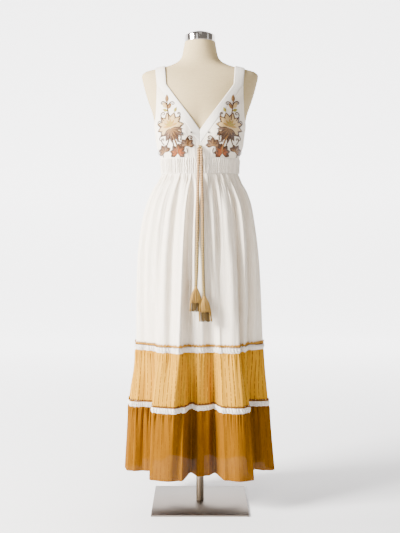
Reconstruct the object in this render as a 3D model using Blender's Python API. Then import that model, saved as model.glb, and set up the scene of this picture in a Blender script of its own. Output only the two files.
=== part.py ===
"""Sleeveless tiered maxi dress on a limbless dress form that stands on a pole and a square plate.

Metres, +Z up. The front faces -Y and +X is the right of the picture. The origin lies in the
middle of the plate's underside. Angles go round the body: 0 is the front, 90 degrees the +X side.
"""

import math
from typing import Callable, NamedTuple

import bmesh
import bpy
from mathutils import Matrix, Vector


class Section(NamedTuple):
    """One level of a body: its reach from the pole's axis to each side."""

    height: float
    left: float
    right: float
    front: float
    back: float


class Fold(NamedTuple):
    """One crest or trough: its place round the body and its push out of the plain section."""

    angle: float
    push: float


class Neckline(NamedTuple):
    """One face of the V neck: its point, the strap's bend and the band's drop at the point."""

    point: float
    bend_reach: float
    bend_height: float
    drop: float


class Strip(NamedTuple):
    """A stretch of cloth between two heights."""

    low: float
    high: float


# Stand
PLATE_SIDE = 0.305
PLATE_THICKNESS = 0.005
PLATE_EDGE = 0.0012
POLE_RADIUS = 0.0125
POLE_SIDES = 24

# Dress form
CAP_RADIUS = 0.0475
CAP_SIDE = 0.016
CAP_DOME = 0.0145
CAP_CROWN = 0.9
FORM_COLUMNS = 38
FORM_LEVELS = (
    0.740, 0.748, 0.830, 0.910, 0.980, 1.035, 1.062, 1.085, 1.107, 1.127, 1.146, 1.163, 1.180,
    1.197, 1.213, 1.230, 1.248, 1.280, 1.316, 1.345, 1.368, 1.386, 1.395, 1.402, 1.408,
    1.4145, 1.422, 1.434, 1.451, 1.500,
)
FORM = (
    Section(0.740, 0.150, 0.150, 0.086, 0.102),
    Section(0.748, 0.154, 0.154, 0.090, 0.106),
    Section(0.870, 0.164, 0.164, 0.096, 0.116),
    Section(0.960, 0.149, 0.149, 0.094, 0.106),
    Section(1.020, 0.130, 0.130, 0.090, 0.093),
    Section(1.070, 0.1215, 0.1215, 0.088, 0.086),
    Section(1.117, 0.1245, 0.1245, 0.092, 0.088),
    Section(1.160, 0.1375, 0.1375, 0.100, 0.092),
    Section(1.205, 0.1430, 0.1430, 0.104, 0.096),
    Section(1.252, 0.1510, 0.1510, 0.102, 0.100),
    Section(1.316, 0.1720, 0.1720, 0.092, 0.100),
    Section(1.360, 0.1840, 0.1840, 0.077, 0.090),
    Section(1.386, 0.1890, 0.1890, 0.062, 0.072),
    Section(1.3985, 0.1780, 0.1780, 0.053, 0.061),
    Section(1.4070, 0.1500, 0.1500, 0.048, 0.054),
    Section(1.4145, 0.1170, 0.1170, 0.046, 0.050),
    Section(1.4240, 0.0880, 0.0880, 0.045, 0.049),
    Section(1.4360, 0.0680, 0.0680, 0.045, 0.049),
    Section(1.4510, 0.0585, 0.0585, 0.046, 0.049),
    Section(1.4720, 0.0530, 0.0530, 0.047, 0.048),
    Section(1.5005, 0.0480, 0.0480, 0.0475, 0.0475),
)
BUST_REACH = 0.068
BUST_HEIGHT = 1.200
BUST_PUSH = 0.024
BUST_HALF_WIDTH = 0.054
BUST_HALF_HEIGHT = 0.061

# Cloth
CLOTH = 0.0012
CLEARANCE = 0.0024
SEAM = 0.0003
SIDE_SEAM_ANGLE = 0.0018

# Bodice
UNDERBUST = 1.1174
FRONT_NECK = Neckline(1.200, 0.106, 1.349, 0.043)
BACK_NECK = Neckline(1.270, 0.106, 1.362, 0.033)
STRAP_INNER = 0.112
STRAP_OUTER = 0.1434
ARMHOLE_REACH = 0.1362
ARMHOLE_SPREAD = 0.0048
ARMPIT = 1.2225
ARMPIT_ROUND = 0.030
CUP_LEVELS = (0.0, 0.075, 0.15, 0.17, 0.25, 0.335, 0.42, 0.46, 0.49, 0.53, 0.59, 0.68, 0.79, 0.9, 1.0)
CUP_COLUMNS = 10
BACK_LEVELS = (0.0, 0.17, 0.33, 0.45, 0.49, 0.53, 0.62, 0.75, 0.88, 1.0)
BACK_COLUMNS = 7
BAND_STEPS = 15

# Shirred waistband
WAISTBAND = Strip(1.0672, 1.1169)
RIBS_A_HALF = 28
RIB_RISE = 0.0008

# Skirt and tiers
SKIRT = (
    Section(1.0670, 0.1247, 0.1247, 0.0912, 0.0892),
    Section(1.0400, 0.1385, 0.1370, 0.0970, 0.0990),
    Section(1.0150, 0.1540, 0.1490, 0.1020, 0.1120),
    Section(0.9600, 0.1760, 0.1680, 0.1070, 0.1300),
    Section(0.8850, 0.1920, 0.1810, 0.1100, 0.1430),
    Section(0.7900, 0.2030, 0.1920, 0.1120, 0.1500),
    Section(0.6800, 0.2065, 0.1990, 0.1120, 0.1530),
    Section(0.5200, 0.2085, 0.2055, 0.1100, 0.1550),
    Section(0.3300, 0.2290, 0.2230, 0.1060, 0.1580),
    Section(0.1050, 0.2425, 0.2440, 0.1040, 0.1620),
)[::-1]
UPPER_SKIRT = Strip(0.5192, 1.0668)
UPPER_LEVELS = (0.0, 0.05, 0.2, 0.38, 0.56, 0.73, 0.86, 0.94, 1.0)
EDGING_ONE = Strip(0.5172, 0.5285)
LACE_ONE = Strip(0.5030, 0.5188)
TIER_ONE = Strip(0.3368, 0.5026)
TIER_ONE_LEVELS = (0.0, 0.35, 0.7, 0.93, 1.0)
EDGING_TWO = Strip(0.3330, 0.3364)
LACE_TWO = Strip(0.3168, 0.3326)
TIER_TWO = Strip(0.1050, 0.3164)
TIER_TWO_LEVELS = (0.0, 0.3, 0.62, 0.93, 1.0)
EDGING_THICKNESS = 0.0010
EDGING_LIFT = 0.0008
EDGING_WAVE = 0.0016
PIPING_THICKNESS = 0.0022
GATHER_RISE = 0.0016
GATHER_DEPTH = 0.075
FRONT_COLUMN_SPAN = 5.6
BACK_COLUMN_SPAN = 6.8
UPPER_FOLDS = (
    Fold(-90.0, 0.000), Fold(-78.0, 0.004), Fold(-64.0, -0.005), Fold(-50.0, 0.005),
    Fold(-38.0, -0.003), Fold(-33.0, 0.004), Fold(-27.0, -0.006), Fold(-20.0, 0.006),
    Fold(-12.5, -0.011), Fold(-5.0, 0.004), Fold(4.0, 0.003), Fold(10.0, -0.005),
    Fold(15.0, 0.004), Fold(20.5, -0.008), Fold(29.0, 0.007), Fold(38.5, -0.009),
    Fold(47.0, 0.006), Fold(56.0, -0.009), Fold(68.0, 0.004), Fold(80.0, -0.002),
    Fold(90.0, 0.000), Fold(102.0, -0.006), Fold(114.0, 0.006), Fold(128.0, -0.007),
    Fold(142.0, 0.007), Fold(154.0, -0.008), Fold(166.0, 0.005), Fold(178.0, -0.009),
    Fold(192.0, 0.007), Fold(206.0, -0.006), Fold(220.0, 0.007), Fold(234.0, -0.008),
    Fold(248.0, 0.005), Fold(260.0, -0.004), Fold(270.0, 0.000),
)
HEM_FOLDS = (
    Fold(-90.0, 0.000), Fold(-83.0, -0.002), Fold(-73.0, -0.016), Fold(-59.0, -0.044),
    Fold(-47.0, -0.052), Fold(-36.0, 0.040), Fold(-24.0, 0.046), Fold(-13.0, 0.034),
    Fold(-8.0, -0.062), Fold(-1.0, -0.021), Fold(6.5, -0.030), Fold(12.5, -0.058),
    Fold(18.0, 0.030), Fold(29.0, 0.052), Fold(38.0, 0.048), Fold(48.5, -0.060),
    Fold(61.0, -0.058), Fold(74.0, -0.028), Fold(83.0, -0.005), Fold(90.0, 0.000),
    Fold(103.0, -0.022), Fold(117.0, 0.022), Fold(131.0, -0.034), Fold(146.0, 0.026),
    Fold(160.0, -0.030), Fold(174.0, 0.022), Fold(187.0, -0.036), Fold(202.0, 0.028),
    Fold(216.0, -0.026), Fold(231.0, 0.030), Fold(246.0, -0.034), Fold(259.0, 0.010),
    Fold(270.0, 0.000),
)
UPPER_FOLD_GROWTH = ((0.330, 0.0), (0.520, 0.6), (0.620, 1.0), (0.930, 1.0), (1.020, 0.4), (1.067, 0.0))
HEM_FOLD_GROWTH = ((0.105, 1.0), (0.330, 0.82), (0.520, 0.30), (0.700, 0.12), (0.900, 0.0))

# Drawstring cords and tassels
CORD_RADIUS = 0.003
CORD_POINTS = 30
KNOT_CENTRE = (0.0, -0.1092, 1.1485)
KNOT_SIZE = (0.0068, 0.0046, 0.0052)
LEFT_CORD = (
    (-0.0038, -0.1098, 1.1430), (-0.0050, -0.1100, 1.100), (-0.0062, -0.1110, 1.040),
    (-0.0073, -0.1150, 0.985), (-0.0078, -0.1195, 0.930), (-0.0083, -0.1232, 0.850),
    (-0.0095, -0.1262, 0.780), (-0.0128, -0.1290, 0.7175),
)
RIGHT_CORD = (
    (0.0038, -0.1098, 1.1430), (0.0044, -0.1102, 1.100), (0.0052, -0.1112, 1.040),
    (0.0066, -0.1152, 0.985), (0.0076, -0.1195, 0.930), (0.0085, -0.1234, 0.850),
    (0.0094, -0.1264, 0.780), (0.0108, -0.1286, 0.730), (0.0128, -0.1296, 0.6915),
)
HEAD_SIZE = (0.0066, 0.0060, 0.0078)
OUTER_STRANDS = 14
INNER_STRANDS = 9
OUTER_SHARE = 0.66
TASSEL_FLATNESS = 0.72
STRAND_ROOT = 0.0008
STRAND_TIP = 0.0015


def finish(name: str, color: tuple[float, float, float], roughness: float, metallic: float = 0.0):
    """A Principled material with one colour."""
    material = bpy.data.materials.new(name)
    material.use_nodes = True
    shader = material.node_tree.nodes["Principled BSDF"]
    shader.inputs["Base Color"].default_value = (*color, 1.0)
    shader.inputs["Roughness"].default_value = roughness
    shader.inputs["Metallic"].default_value = metallic
    return material


def publish(name: str, mesh_source: bmesh.types.BMesh, material, smooth: bool = True):
    """Turn a bmesh into a named object with its faces out and its material set."""
    bmesh.ops.recalc_face_normals(mesh_source, faces=mesh_source.faces)
    if mesh_source.calc_volume(signed=True) < 0.0:
        bmesh.ops.reverse_faces(mesh_source, faces=mesh_source.faces)
    mesh = bpy.data.meshes.new(name)
    mesh_source.to_mesh(mesh)
    mesh_source.free()
    if smooth:
        mesh.shade_smooth()
        mesh.set_sharp_from_angle(angle=math.radians(40.0))
    mesh.materials.append(material)
    item = bpy.data.objects.new(name, mesh)
    bpy.context.scene.collection.objects.link(item)
    return item


def between(low: float, high: float, share: float) -> float:
    """The value a share of the way from low to high."""
    return low + (high - low) * share


def steady_slopes(spots: list[float], values: list[float]) -> list[float]:
    """Slopes of a curve through values that never overshoots them."""
    steps = [(values[k + 1] - values[k]) / (spots[k + 1] - spots[k]) for k in range(len(spots) - 1)]
    slopes = [steps[0]]
    for before, after in zip(steps, steps[1:]):
        if before * after <= 0.0:
            slopes.append(0.0)
        else:
            slopes.append(2.0 * before * after / (before + after))
    slopes.append(steps[-1])
    return slopes


class Profile:
    """A body's sections, read at any height along a smooth curve."""

    def __init__(self, sections: tuple[Section, ...]):
        self.heights = [row.height for row in sections]
        columns = list(zip(*sections))[1:]
        self.columns = [(list(values), steady_slopes(self.heights, list(values))) for values in columns]

    def at(self, height: float) -> Section:
        """The section at a height."""
        spots = self.heights
        height = min(max(height, spots[0]), spots[-1])
        k = 0
        while k < len(spots) - 2 and height > spots[k + 1]:
            k += 1
        span = spots[k + 1] - spots[k]
        s = (height - spots[k]) / span
        start_weight = (1.0 + 2.0 * s) * (1.0 - s) ** 2
        end_weight = s * s * (3.0 - 2.0 * s)
        start_slope_weight = s * (1.0 - s) ** 2 * span
        end_slope_weight = s * s * (s - 1.0) * span
        values = [
            start_weight * row[k] + end_weight * row[k + 1]
            + start_slope_weight * slopes[k] + end_slope_weight * slopes[k + 1]
            for row, slopes in self.columns
        ]
        return Section(height, *values)


FORM_PROFILE = Profile(FORM)
SKIRT_PROFILE = Profile(SKIRT)


def oval(section: Section, angle: float) -> tuple[float, float]:
    """A point of the section's outline, at an angle round the body."""
    side = section.right if math.sin(angle) >= 0.0 else section.left
    depth = section.front if math.cos(angle) >= 0.0 else section.back
    return side * math.sin(angle), -depth * math.cos(angle)


def oval_normal(section: Section, angle: float) -> tuple[float, float]:
    """The outward direction of the section's outline at an angle."""
    side = section.right if math.sin(angle) >= 0.0 else section.left
    depth = section.front if math.cos(angle) >= 0.0 else section.back
    across = depth * math.sin(angle)
    forward = -side * math.cos(angle)
    length = math.hypot(across, forward)
    return across / length, forward / length


def torso(angle: float, height: float) -> Vector:
    """The dress form's surface."""
    x, y = oval(FORM_PROFILE.at(height), angle)
    facing = min(1.0, max(0.0, 2.5 * math.cos(angle)))
    spread = ((abs(x) - BUST_REACH) / BUST_HALF_WIDTH) ** 2 + ((height - BUST_HEIGHT) / BUST_HALF_HEIGHT) ** 2
    return Vector((x, y - BUST_PUSH * facing * math.exp(-spread), height))


def fold_push(folds: tuple[Fold, ...], angle: float) -> float:
    """The push at an angle, eased from each crest to the next trough."""
    degrees = (math.degrees(angle) + 90.0) % 360.0 - 90.0
    for start, end in zip(folds, folds[1:]):
        if degrees <= end.angle:
            share = (degrees - start.angle) / (end.angle - start.angle)
            return between(start.push, end.push, 0.5 - 0.5 * math.cos(math.pi * share))
    return folds[-1].push


def growth(stops: tuple[tuple[float, float], ...], height: float) -> float:
    """How far folds have opened at a height."""
    if height <= stops[0][0]:
        return stops[0][1]
    for (low, start), (high, end) in zip(stops, stops[1:]):
        if height <= high:
            share = (height - low) / (high - low)
            return between(start, end, share * share * (3.0 - 2.0 * share))
    return stops[-1][1]


def skirt(angle: float, height: float) -> Vector:
    """The outer surface of the skirt and of both tiers, folds included."""
    section = SKIRT_PROFILE.at(height)
    x, y = oval(section, angle)
    out_x, out_y = oval_normal(section, angle)
    push = fold_push(UPPER_FOLDS, angle) * growth(UPPER_FOLD_GROWTH, height)
    push += fold_push(HEM_FOLDS, angle) * growth(HEM_FOLD_GROWTH, height)
    return Vector((x + out_x * push, y + out_y * push, height))


def lifted(surface: Callable[[float, float], Vector], angle: float, height: float, lift: float) -> Vector:
    """A surface point moved straight out by a lift."""
    turn = 0.004
    rise = 0.0004
    round_way = surface(angle + turn, height) - surface(angle - turn, height)
    up_way = surface(angle, height + rise) - surface(angle, height - rise)
    return surface(angle, height) + round_way.cross(up_way).normalized() * lift


def cloth_wall(
    name: str,
    columns: int,
    rows: int,
    outer: Callable[[int, int], Vector],
    inner: Callable[[int, int], Vector],
    material,
    ring: bool = False,
):
    """A wall of cloth between an outer and an inner sheet of points, or a ring of it all round."""
    sheet = bmesh.new()
    column_tag = sheet.verts.layers.int.new("column")
    row_tag = sheet.verts.layers.int.new("row")
    bmesh.ops.create_grid(sheet, x_segments=columns, y_segments=rows, size=0.5)
    for vert in sheet.verts:
        column = round((vert.co.x + 0.5) * columns)
        vert[column_tag] = column % columns if ring else column
        vert[row_tag] = round((vert.co.y + 0.5) * rows)
        vert.co = outer(vert[column_tag], vert[row_tag])
    if ring:
        bmesh.ops.remove_doubles(sheet, verts=sheet.verts, dist=0.000001)
    copied = bmesh.ops.extrude_face_region(sheet, geom=sheet.faces[:])["geom"]
    for item in copied:
        if isinstance(item, bmesh.types.BMVert):
            item.co = inner(item[column_tag], item[row_tag])
    return publish(name, sheet, material)


def round_body(name: str, columns: int, rows: int, place: Callable[[float, int], Vector], material):
    """A closed body turned or lofted round an upright axis, with flat ends."""
    body = bmesh.new()
    bmesh.ops.create_grid(body, x_segments=columns, y_segments=rows, size=0.5)
    for vert in body.verts:
        share = round((vert.co.x + 0.5) * columns) % columns / columns
        vert.co = place(2.0 * math.pi * share, round((vert.co.y + 0.5) * rows))
    bmesh.ops.remove_doubles(body, verts=body.verts, dist=0.000001)
    bmesh.ops.holes_fill(body, edges=[edge for edge in body.edges if edge.is_boundary], sides=0)
    return publish(name, body, material)


# Stand and dress form


def build_stand(steel) -> None:
    """The square plate and the pole that carries the form."""
    plate = bmesh.new()
    bmesh.ops.create_cube(plate, size=1.0)
    for vert in plate.verts:
        vert.co.x *= PLATE_SIDE
        vert.co.y *= PLATE_SIDE
        vert.co.z = (vert.co.z + 0.5) * PLATE_THICKNESS
    slab = publish("base_plate", plate, steel)
    edge = slab.modifiers.new("edge", "BEVEL")
    edge.width = PLATE_EDGE
    edge.segments = 2

    foot = PLATE_THICKNESS + SEAM
    length = FORM[0].height - SEAM - foot
    rod = bmesh.new()
    bmesh.ops.create_cone(
        rod, cap_ends=True, segments=POLE_SIDES, radius1=POLE_RADIUS, radius2=POLE_RADIUS, depth=length
    )
    pole = publish("pole", rod, steel)
    pole.location = (0.0, 0.0, foot + length / 2.0)


def build_form(linen, chrome) -> None:
    """The limbless torso and the domed cap on its neck."""
    round_body(
        "form_body",
        FORM_COLUMNS,
        len(FORM_LEVELS) - 1,
        lambda angle, row: torso(angle, FORM_LEVELS[row]),
        linen,
    )
    floor = FORM_LEVELS[-1] + SEAM
    rim = floor + CAP_SIDE
    outline = [(CAP_RADIUS - 0.001, floor), (CAP_RADIUS, floor + 0.001), (CAP_RADIUS, rim)]
    for share in (0.3, 0.55, 0.75, CAP_CROWN):
        swing = share * math.pi / 2.0
        outline.append((CAP_RADIUS * math.cos(swing), rim + CAP_DOME * math.sin(swing)))

    def cap_point(angle: float, row: int) -> Vector:
        radius, height = outline[row]
        return Vector((radius * math.sin(angle), -radius * math.cos(angle), height))

    round_body("neck_cap", 28, len(outline) - 1, cap_point, chrome)


# Bodice


def ridge_height(reach: float) -> float:
    """The height at which the shoulder is as wide as a reach."""
    low = FORM[12].height
    high = FORM[17].height
    for _ in range(40):
        middle = (low + high) / 2.0
        if FORM_PROFILE.at(middle).right > reach:
            low = middle
        else:
            high = middle
    return low


def angle_at(reach: float, height: float) -> float:
    """The angle at which the form's outline has a sideways reach."""
    return math.asin(min(1.0, reach / FORM_PROFILE.at(height).right))


def outer_line(neck: Neckline, height: float) -> float:
    """The sideways reach of the band's outer edge, where it runs straight to the V's point."""
    slope = neck.bend_reach / (neck.bend_height - neck.point)
    return slope * (height - neck.point + neck.drop)


def strap_edge(neck: Neckline, step: float, outer: bool) -> tuple[float, float]:
    """An edge of band and strap: its angle and height, from the V's point (0) to the shoulder (1)."""
    start = neck.point - (neck.drop if outer else 0.0)
    top_reach = STRAP_OUTER if outer else STRAP_INNER
    bend_reach = ARMHOLE_REACH if outer else neck.bend_reach
    slope = neck.bend_reach / (neck.bend_height - neck.point)
    bend = start + bend_reach / slope
    height = between(start, ridge_height(top_reach), math.sin(step * math.pi / 2.0))
    if step >= 1.0:
        return math.pi / 2.0, height
    if height < bend:
        reach = slope * (height - start)
    else:
        share = (height - bend) / (ridge_height(top_reach) - bend)
        reach = between(bend_reach, top_reach, share)
    return angle_at(max(reach, SEAM * 0.7), height), height


def build_band(name: str, side: int, cloth) -> None:
    """The neckline band that runs on as the strap, from the front V over the shoulder to the back V."""
    rows = 2 * BAND_STEPS

    def place(column: int, row: int, lift: float) -> Vector:
        step = 1.0 - abs(row - BAND_STEPS) / BAND_STEPS
        neck = FRONT_NECK if row <= BAND_STEPS else BACK_NECK
        inner_angle, inner_height = strap_edge(neck, step, outer=False)
        outer_angle, outer_height = strap_edge(neck, step, outer=True)
        share = column / 2.0
        angle = between(inner_angle, outer_angle, share)
        if row > BAND_STEPS:
            angle = math.pi - angle
        spot = lifted(torso, angle, between(inner_height, outer_height, share), lift)
        return Vector((side * max(spot.x, SEAM / 2.0), spot.y, spot.z))

    cloth_wall(
        name,
        2,
        rows,
        lambda column, row: place(column, row, CLEARANCE + CLOTH),
        lambda column, row: place(column, row, CLEARANCE),
        cloth,
    )


def build_cup(name: str, side: int, neck: Neckline, levels: tuple[float, ...], columns: int, cloth) -> None:
    """A front cup or back panel, between the centre, the band, the armhole and the side seam."""
    slope = neck.bend_reach / (neck.bend_height - neck.point)
    top = neck.point - neck.drop + (ARMHOLE_REACH - 0.0022) / slope

    def span(height: float) -> tuple[float, float]:
        start = angle_at(max(outer_line(neck, height) + 0.0005, SEAM * 0.7), height)
        side_angle = math.pi / 2.0 - SIDE_SEAM_ANGLE
        if height <= ARMPIT:
            return start, side_angle
        share = (height - ARMPIT) / (top - ARMPIT)
        edge = angle_at(ARMHOLE_REACH + ARMHOLE_SPREAD * (1.0 - share) ** 2, height)
        curl = min(1.0, (height - ARMPIT) / ARMPIT_ROUND)
        return start, between(side_angle, edge, math.sqrt(1.0 - (1.0 - curl) ** 2))

    def place(column: int, row: int, lift: float) -> Vector:
        height = between(UNDERBUST, top, levels[row])
        start, end = span(height)
        angle = between(start, end, column / columns)
        if neck is BACK_NECK:
            angle = math.pi - angle
        spot = lifted(torso, angle, height, lift)
        return Vector((side * max(spot.x, SEAM / 2.0), spot.y, spot.z))

    cloth_wall(
        name,
        columns,
        len(levels) - 1,
        lambda column, row: place(column, row, CLEARANCE + CLOTH),
        lambda column, row: place(column, row, CLEARANCE),
        cloth,
    )


def build_waistband(name: str, middle: float, cloth) -> None:
    """Half of the shirred waistband: upright ribs outside, plain inside."""
    columns = 2 * RIBS_A_HALF
    reach = math.pi / 2.0 - SIDE_SEAM_ANGLE

    def place(column: int, row: int, lift: float) -> Vector:
        angle = middle + reach * (2.0 * column / columns - 1.0)
        return lifted(torso, angle, between(WAISTBAND.low, WAISTBAND.high, row / 2.0), lift)

    cloth_wall(
        name,
        columns,
        2,
        lambda column, row: place(column, row, CLEARANCE + CLOTH + RIB_RISE * (column % 2)),
        lambda column, row: place(column, row, CLEARANCE),
        cloth,
    )


# Skirt


def fold_columns(start: float, end: float, widest: float) -> list[float]:
    """Angles at each crest and trough of the hem between two side seams, and evenly between them."""
    corners = [fold.angle for fold in HEM_FOLDS if start <= fold.angle <= end]
    angles = [math.radians(start) + SIDE_SEAM_ANGLE]
    for low, high in zip(corners, corners[1:]):
        parts = max(1, math.ceil((high - low) / widest))
        angles += [math.radians(between(low, high, (k + 1) / parts)) for k in range(parts)]
    angles[-1] -= SIDE_SEAM_ANGLE
    return angles


def build_skirt_piece(
    name: str,
    angles: list[float],
    strip: Strip,
    levels: tuple[float, ...],
    cloth,
    inner_lift: float = -CLOTH,
    outer_lift: float = 0.0,
    wave: float = 0.0,
    gathers: float = 0.0,
    ring: bool = False,
) -> None:
    """A stretch of skirt, tier or trim on the skirt's surface, wavy or gathered along its top."""

    def place(column: int, row: int, lift: float) -> Vector:
        height = between(strip.low, strip.high, levels[row])
        depth = (strip.high - height) / GATHER_DEPTH
        ripple = gathers * max(0.0, 1.0 - depth) if column % 2 else 0.0
        push = lift + ripple + wave * (column % 2) * levels[row]
        return lifted(skirt, angles[column], height, push)

    cloth_wall(
        name,
        len(angles) - 1,
        len(levels) - 1,
        lambda column, row: place(column, row, outer_lift),
        lambda column, row: place(column, row, inner_lift),
        cloth,
        ring,
    )


def build_skirt(finishes: dict) -> None:
    """The white skirt, its two coloured tiers and their lace, front and back, and the two edgings."""
    halves = {
        "front": fold_columns(-90.0, 90.0, FRONT_COLUMN_SPAN),
        "back": fold_columns(90.0, 270.0, BACK_COLUMN_SPAN),
    }
    ends = (0.0, 1.0)
    for half, angles in halves.items():
        build_skirt_piece(
            f"skirt_{half}", angles, UPPER_SKIRT, UPPER_LEVELS, finishes["white"], gathers=GATHER_RISE
        )
        build_skirt_piece(f"lace_one_{half}", angles, LACE_ONE, ends, finishes["lace"])
        build_skirt_piece(
            f"tier_one_{half}", angles, TIER_ONE, TIER_ONE_LEVELS, finishes["ochre"], gathers=GATHER_RISE
        )
        build_skirt_piece(f"lace_two_{half}", angles, LACE_TWO, ends, finishes["lace"])
        build_skirt_piece(
            f"tier_two_{half}", angles, TIER_TWO, TIER_TWO_LEVELS, finishes["mustard"], gathers=GATHER_RISE
        )
    round_angles = halves["front"] + halves["back"]
    build_skirt_piece(
        "edging_one",
        round_angles,
        EDGING_ONE,
        ends,
        finishes["ochre"],
        inner_lift=EDGING_LIFT,
        outer_lift=EDGING_LIFT + EDGING_THICKNESS,
        wave=EDGING_WAVE,
        ring=True,
    )
    build_skirt_piece(
        "edging_two",
        round_angles,
        EDGING_TWO,
        ends,
        finishes["brown"],
        outer_lift=PIPING_THICKNESS - CLOTH,
        ring=True,
    )


# Cords and tassels


def smooth_route(spots: tuple[tuple[float, float, float], ...], count: int) -> list[Vector]:
    """Evenly shared points of a smooth curve through a route's spots."""
    knots = [Vector(spot) for spot in spots]
    knots = [2.0 * knots[0] - knots[1], *knots, 2.0 * knots[-1] - knots[-2]]
    route = []
    for k in range(count):
        place = k * (len(spots) - 1) / (count - 1)
        first = min(int(place), len(spots) - 2)
        s = place - first
        a, b, c, d = knots[first:first + 4]
        route.append(
            0.5 * (2.0 * b + (c - a) * s + (2.0 * a - 5.0 * b + 4.0 * c - d) * s ** 2
                   + (3.0 * b - a - 3.0 * c + d) * s ** 3)
        )
    return route


def build_cord(name: str, spots: tuple[tuple[float, float, float], ...], material) -> None:
    """A round cord along its route."""
    curve = bpy.data.curves.new(name, "CURVE")
    curve.dimensions = "3D"
    curve.bevel_depth = CORD_RADIUS
    curve.bevel_resolution = 2
    curve.use_fill_caps = True
    curve.materials.append(material)
    line = curve.splines.new("POLY")
    route = smooth_route(spots, CORD_POINTS)
    line.points.add(len(route) - 1)
    for point, spot in zip(line.points, route):
        point.co = (*spot, 1.0)
    line.use_smooth = True
    bpy.context.scene.collection.objects.link(bpy.data.objects.new(name, curve))


def add_ball(body: bmesh.types.BMesh, centre: Vector, size: tuple[float, float, float]) -> None:
    """Add a ball stretched to three half sizes."""
    place = Matrix.Translation(centre) @ Matrix.Diagonal((*size, 1.0))
    bmesh.ops.create_uvsphere(body, u_segments=12, v_segments=8, radius=1.0, matrix=place)


def add_strands(
    body: bmesh.types.BMesh, root: Vector, count: int, root_ring: float, tip_ring: float, drop: float, lean: float
) -> None:
    """Add a ring of three-sided strands that hang from a root and spread toward their tips."""
    for k in range(count):
        swing = 2.0 * math.pi * (k + 0.5) / count
        way = Vector((math.cos(swing), TASSEL_FLATNESS * math.sin(swing), 0.0))
        start = root + way * root_ring
        uneven = 1.0 + 0.04 * math.sin(3.7 * k)
        end = root + way * tip_ring + Vector((lean, 0.0, -drop * uneven))
        along = start - end
        turn = along.to_track_quat("Z", "X").to_matrix().to_4x4()
        place = Matrix.Translation((start + end) / 2.0) @ turn
        bmesh.ops.create_cone(
            body,
            cap_ends=True,
            segments=3,
            radius1=STRAND_TIP,
            radius2=STRAND_ROOT,
            depth=along.length,
            matrix=place,
        )


def build_tassel(name: str, cord_end: tuple[float, float, float], drop: float, ring: float, lean: float, material):
    """A wound head with a short outer and a longer inner ring of strands, all one body."""
    centre = Vector(cord_end) - Vector((0.0, 0.0, HEAD_SIZE[2] + SEAM))
    head = bmesh.new()
    add_ball(head, centre, HEAD_SIZE)
    tassel = publish(name, head, material)
    hung = bmesh.new()
    root = centre - Vector((0.0, 0.0, HEAD_SIZE[2] * 0.35))
    add_strands(hung, root, OUTER_STRANDS, HEAD_SIZE[0] * 0.66, ring, drop * OUTER_SHARE, lean * OUTER_SHARE)
    add_strands(hung, root, INNER_STRANDS, HEAD_SIZE[0] * 0.30, ring * 0.62, drop, lean)
    strands = publish(f"{name}_strands", hung, material)
    strands.hide_render = True
    strands.display_type = "WIRE"
    join = tassel.modifiers.new("strands", "BOOLEAN")
    join.operation = "UNION"
    join.use_self = True
    join.object = strands


def build_trimmings(finishes: dict) -> None:
    """The knot where the drawstring leaves the bodice, its two cords and their tassels."""
    knot = bmesh.new()
    add_ball(knot, Vector(KNOT_CENTRE), KNOT_SIZE)
    publish("cord_knot", knot, finishes["cord"])
    build_cord("cord_left", LEFT_CORD, finishes["cord"])
    build_cord("cord_right", RIGHT_CORD, finishes["cord"])
    build_tassel("tassel_left", LEFT_CORD[-1], 0.0680, 0.0150, -0.0010, finishes["tassel"])
    build_tassel("tassel_right", RIGHT_CORD[-1], 0.0830, 0.0170, 0.0050, finishes["tassel"])


def main() -> None:
    """Build the stand, the form, the bodice, the skirt and the trimmings."""
    for item in list(bpy.data.objects):
        bpy.data.objects.remove(item, do_unlink=True)
    finishes = {
        "steel": finish("brushed_steel", (0.55, 0.50, 0.45), 0.34, 1.0),
        "chrome": finish("chrome", (0.80, 0.80, 0.80), 0.08, 1.0),
        "linen": finish("linen", (0.72, 0.65, 0.52), 0.90),
        "white": finish("white_cotton", (0.84, 0.82, 0.78), 0.85),
        "lace": finish("white_lace", (0.86, 0.83, 0.80), 0.88),
        "ochre": finish("ochre_cotton", (0.72, 0.46, 0.16), 0.80),
        "mustard": finish("mustard_cotton", (0.52, 0.27, 0.05), 0.80),
        "brown": finish("brown_piping", (0.36, 0.17, 0.05), 0.80),
        "cord": finish("twisted_cord", (0.62, 0.46, 0.26), 0.75),
        "tassel": finish("tassel_thread", (0.55, 0.36, 0.13), 0.70),
    }
    build_stand(finishes["steel"])
    build_form(finishes["linen"], finishes["chrome"])
    for word, side in (("left", -1), ("right", 1)):
        build_cup(f"cup_{word}", side, FRONT_NECK, CUP_LEVELS, CUP_COLUMNS, finishes["white"])
        build_cup(f"back_panel_{word}", side, BACK_NECK, BACK_LEVELS, BACK_COLUMNS, finishes["white"])
        build_band(f"neck_band_{word}", side, finishes["white"])
    build_waistband("waistband_front", 0.0, finishes["white"])
    build_waistband("waistband_back", math.pi, finishes["white"])
    build_skirt(finishes)
    build_trimmings(finishes)


main()
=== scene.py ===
"""Looks of a tiered maxi dress on a limbless dress form: cotton, lace, thread, cords and metal.

Everything is in metres in the part's own frame: +Z up, the front faces -Y and +X is the right of
the picture. Angles go round the body, 0 at the front and 90 degrees at the +X side.
"""

import logging
import math
from dataclasses import dataclass
from enum import Enum
from typing import Callable, NamedTuple, Sequence

import bmesh
import bpy
import numpy as np
from mathutils import Matrix, Vector

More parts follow.
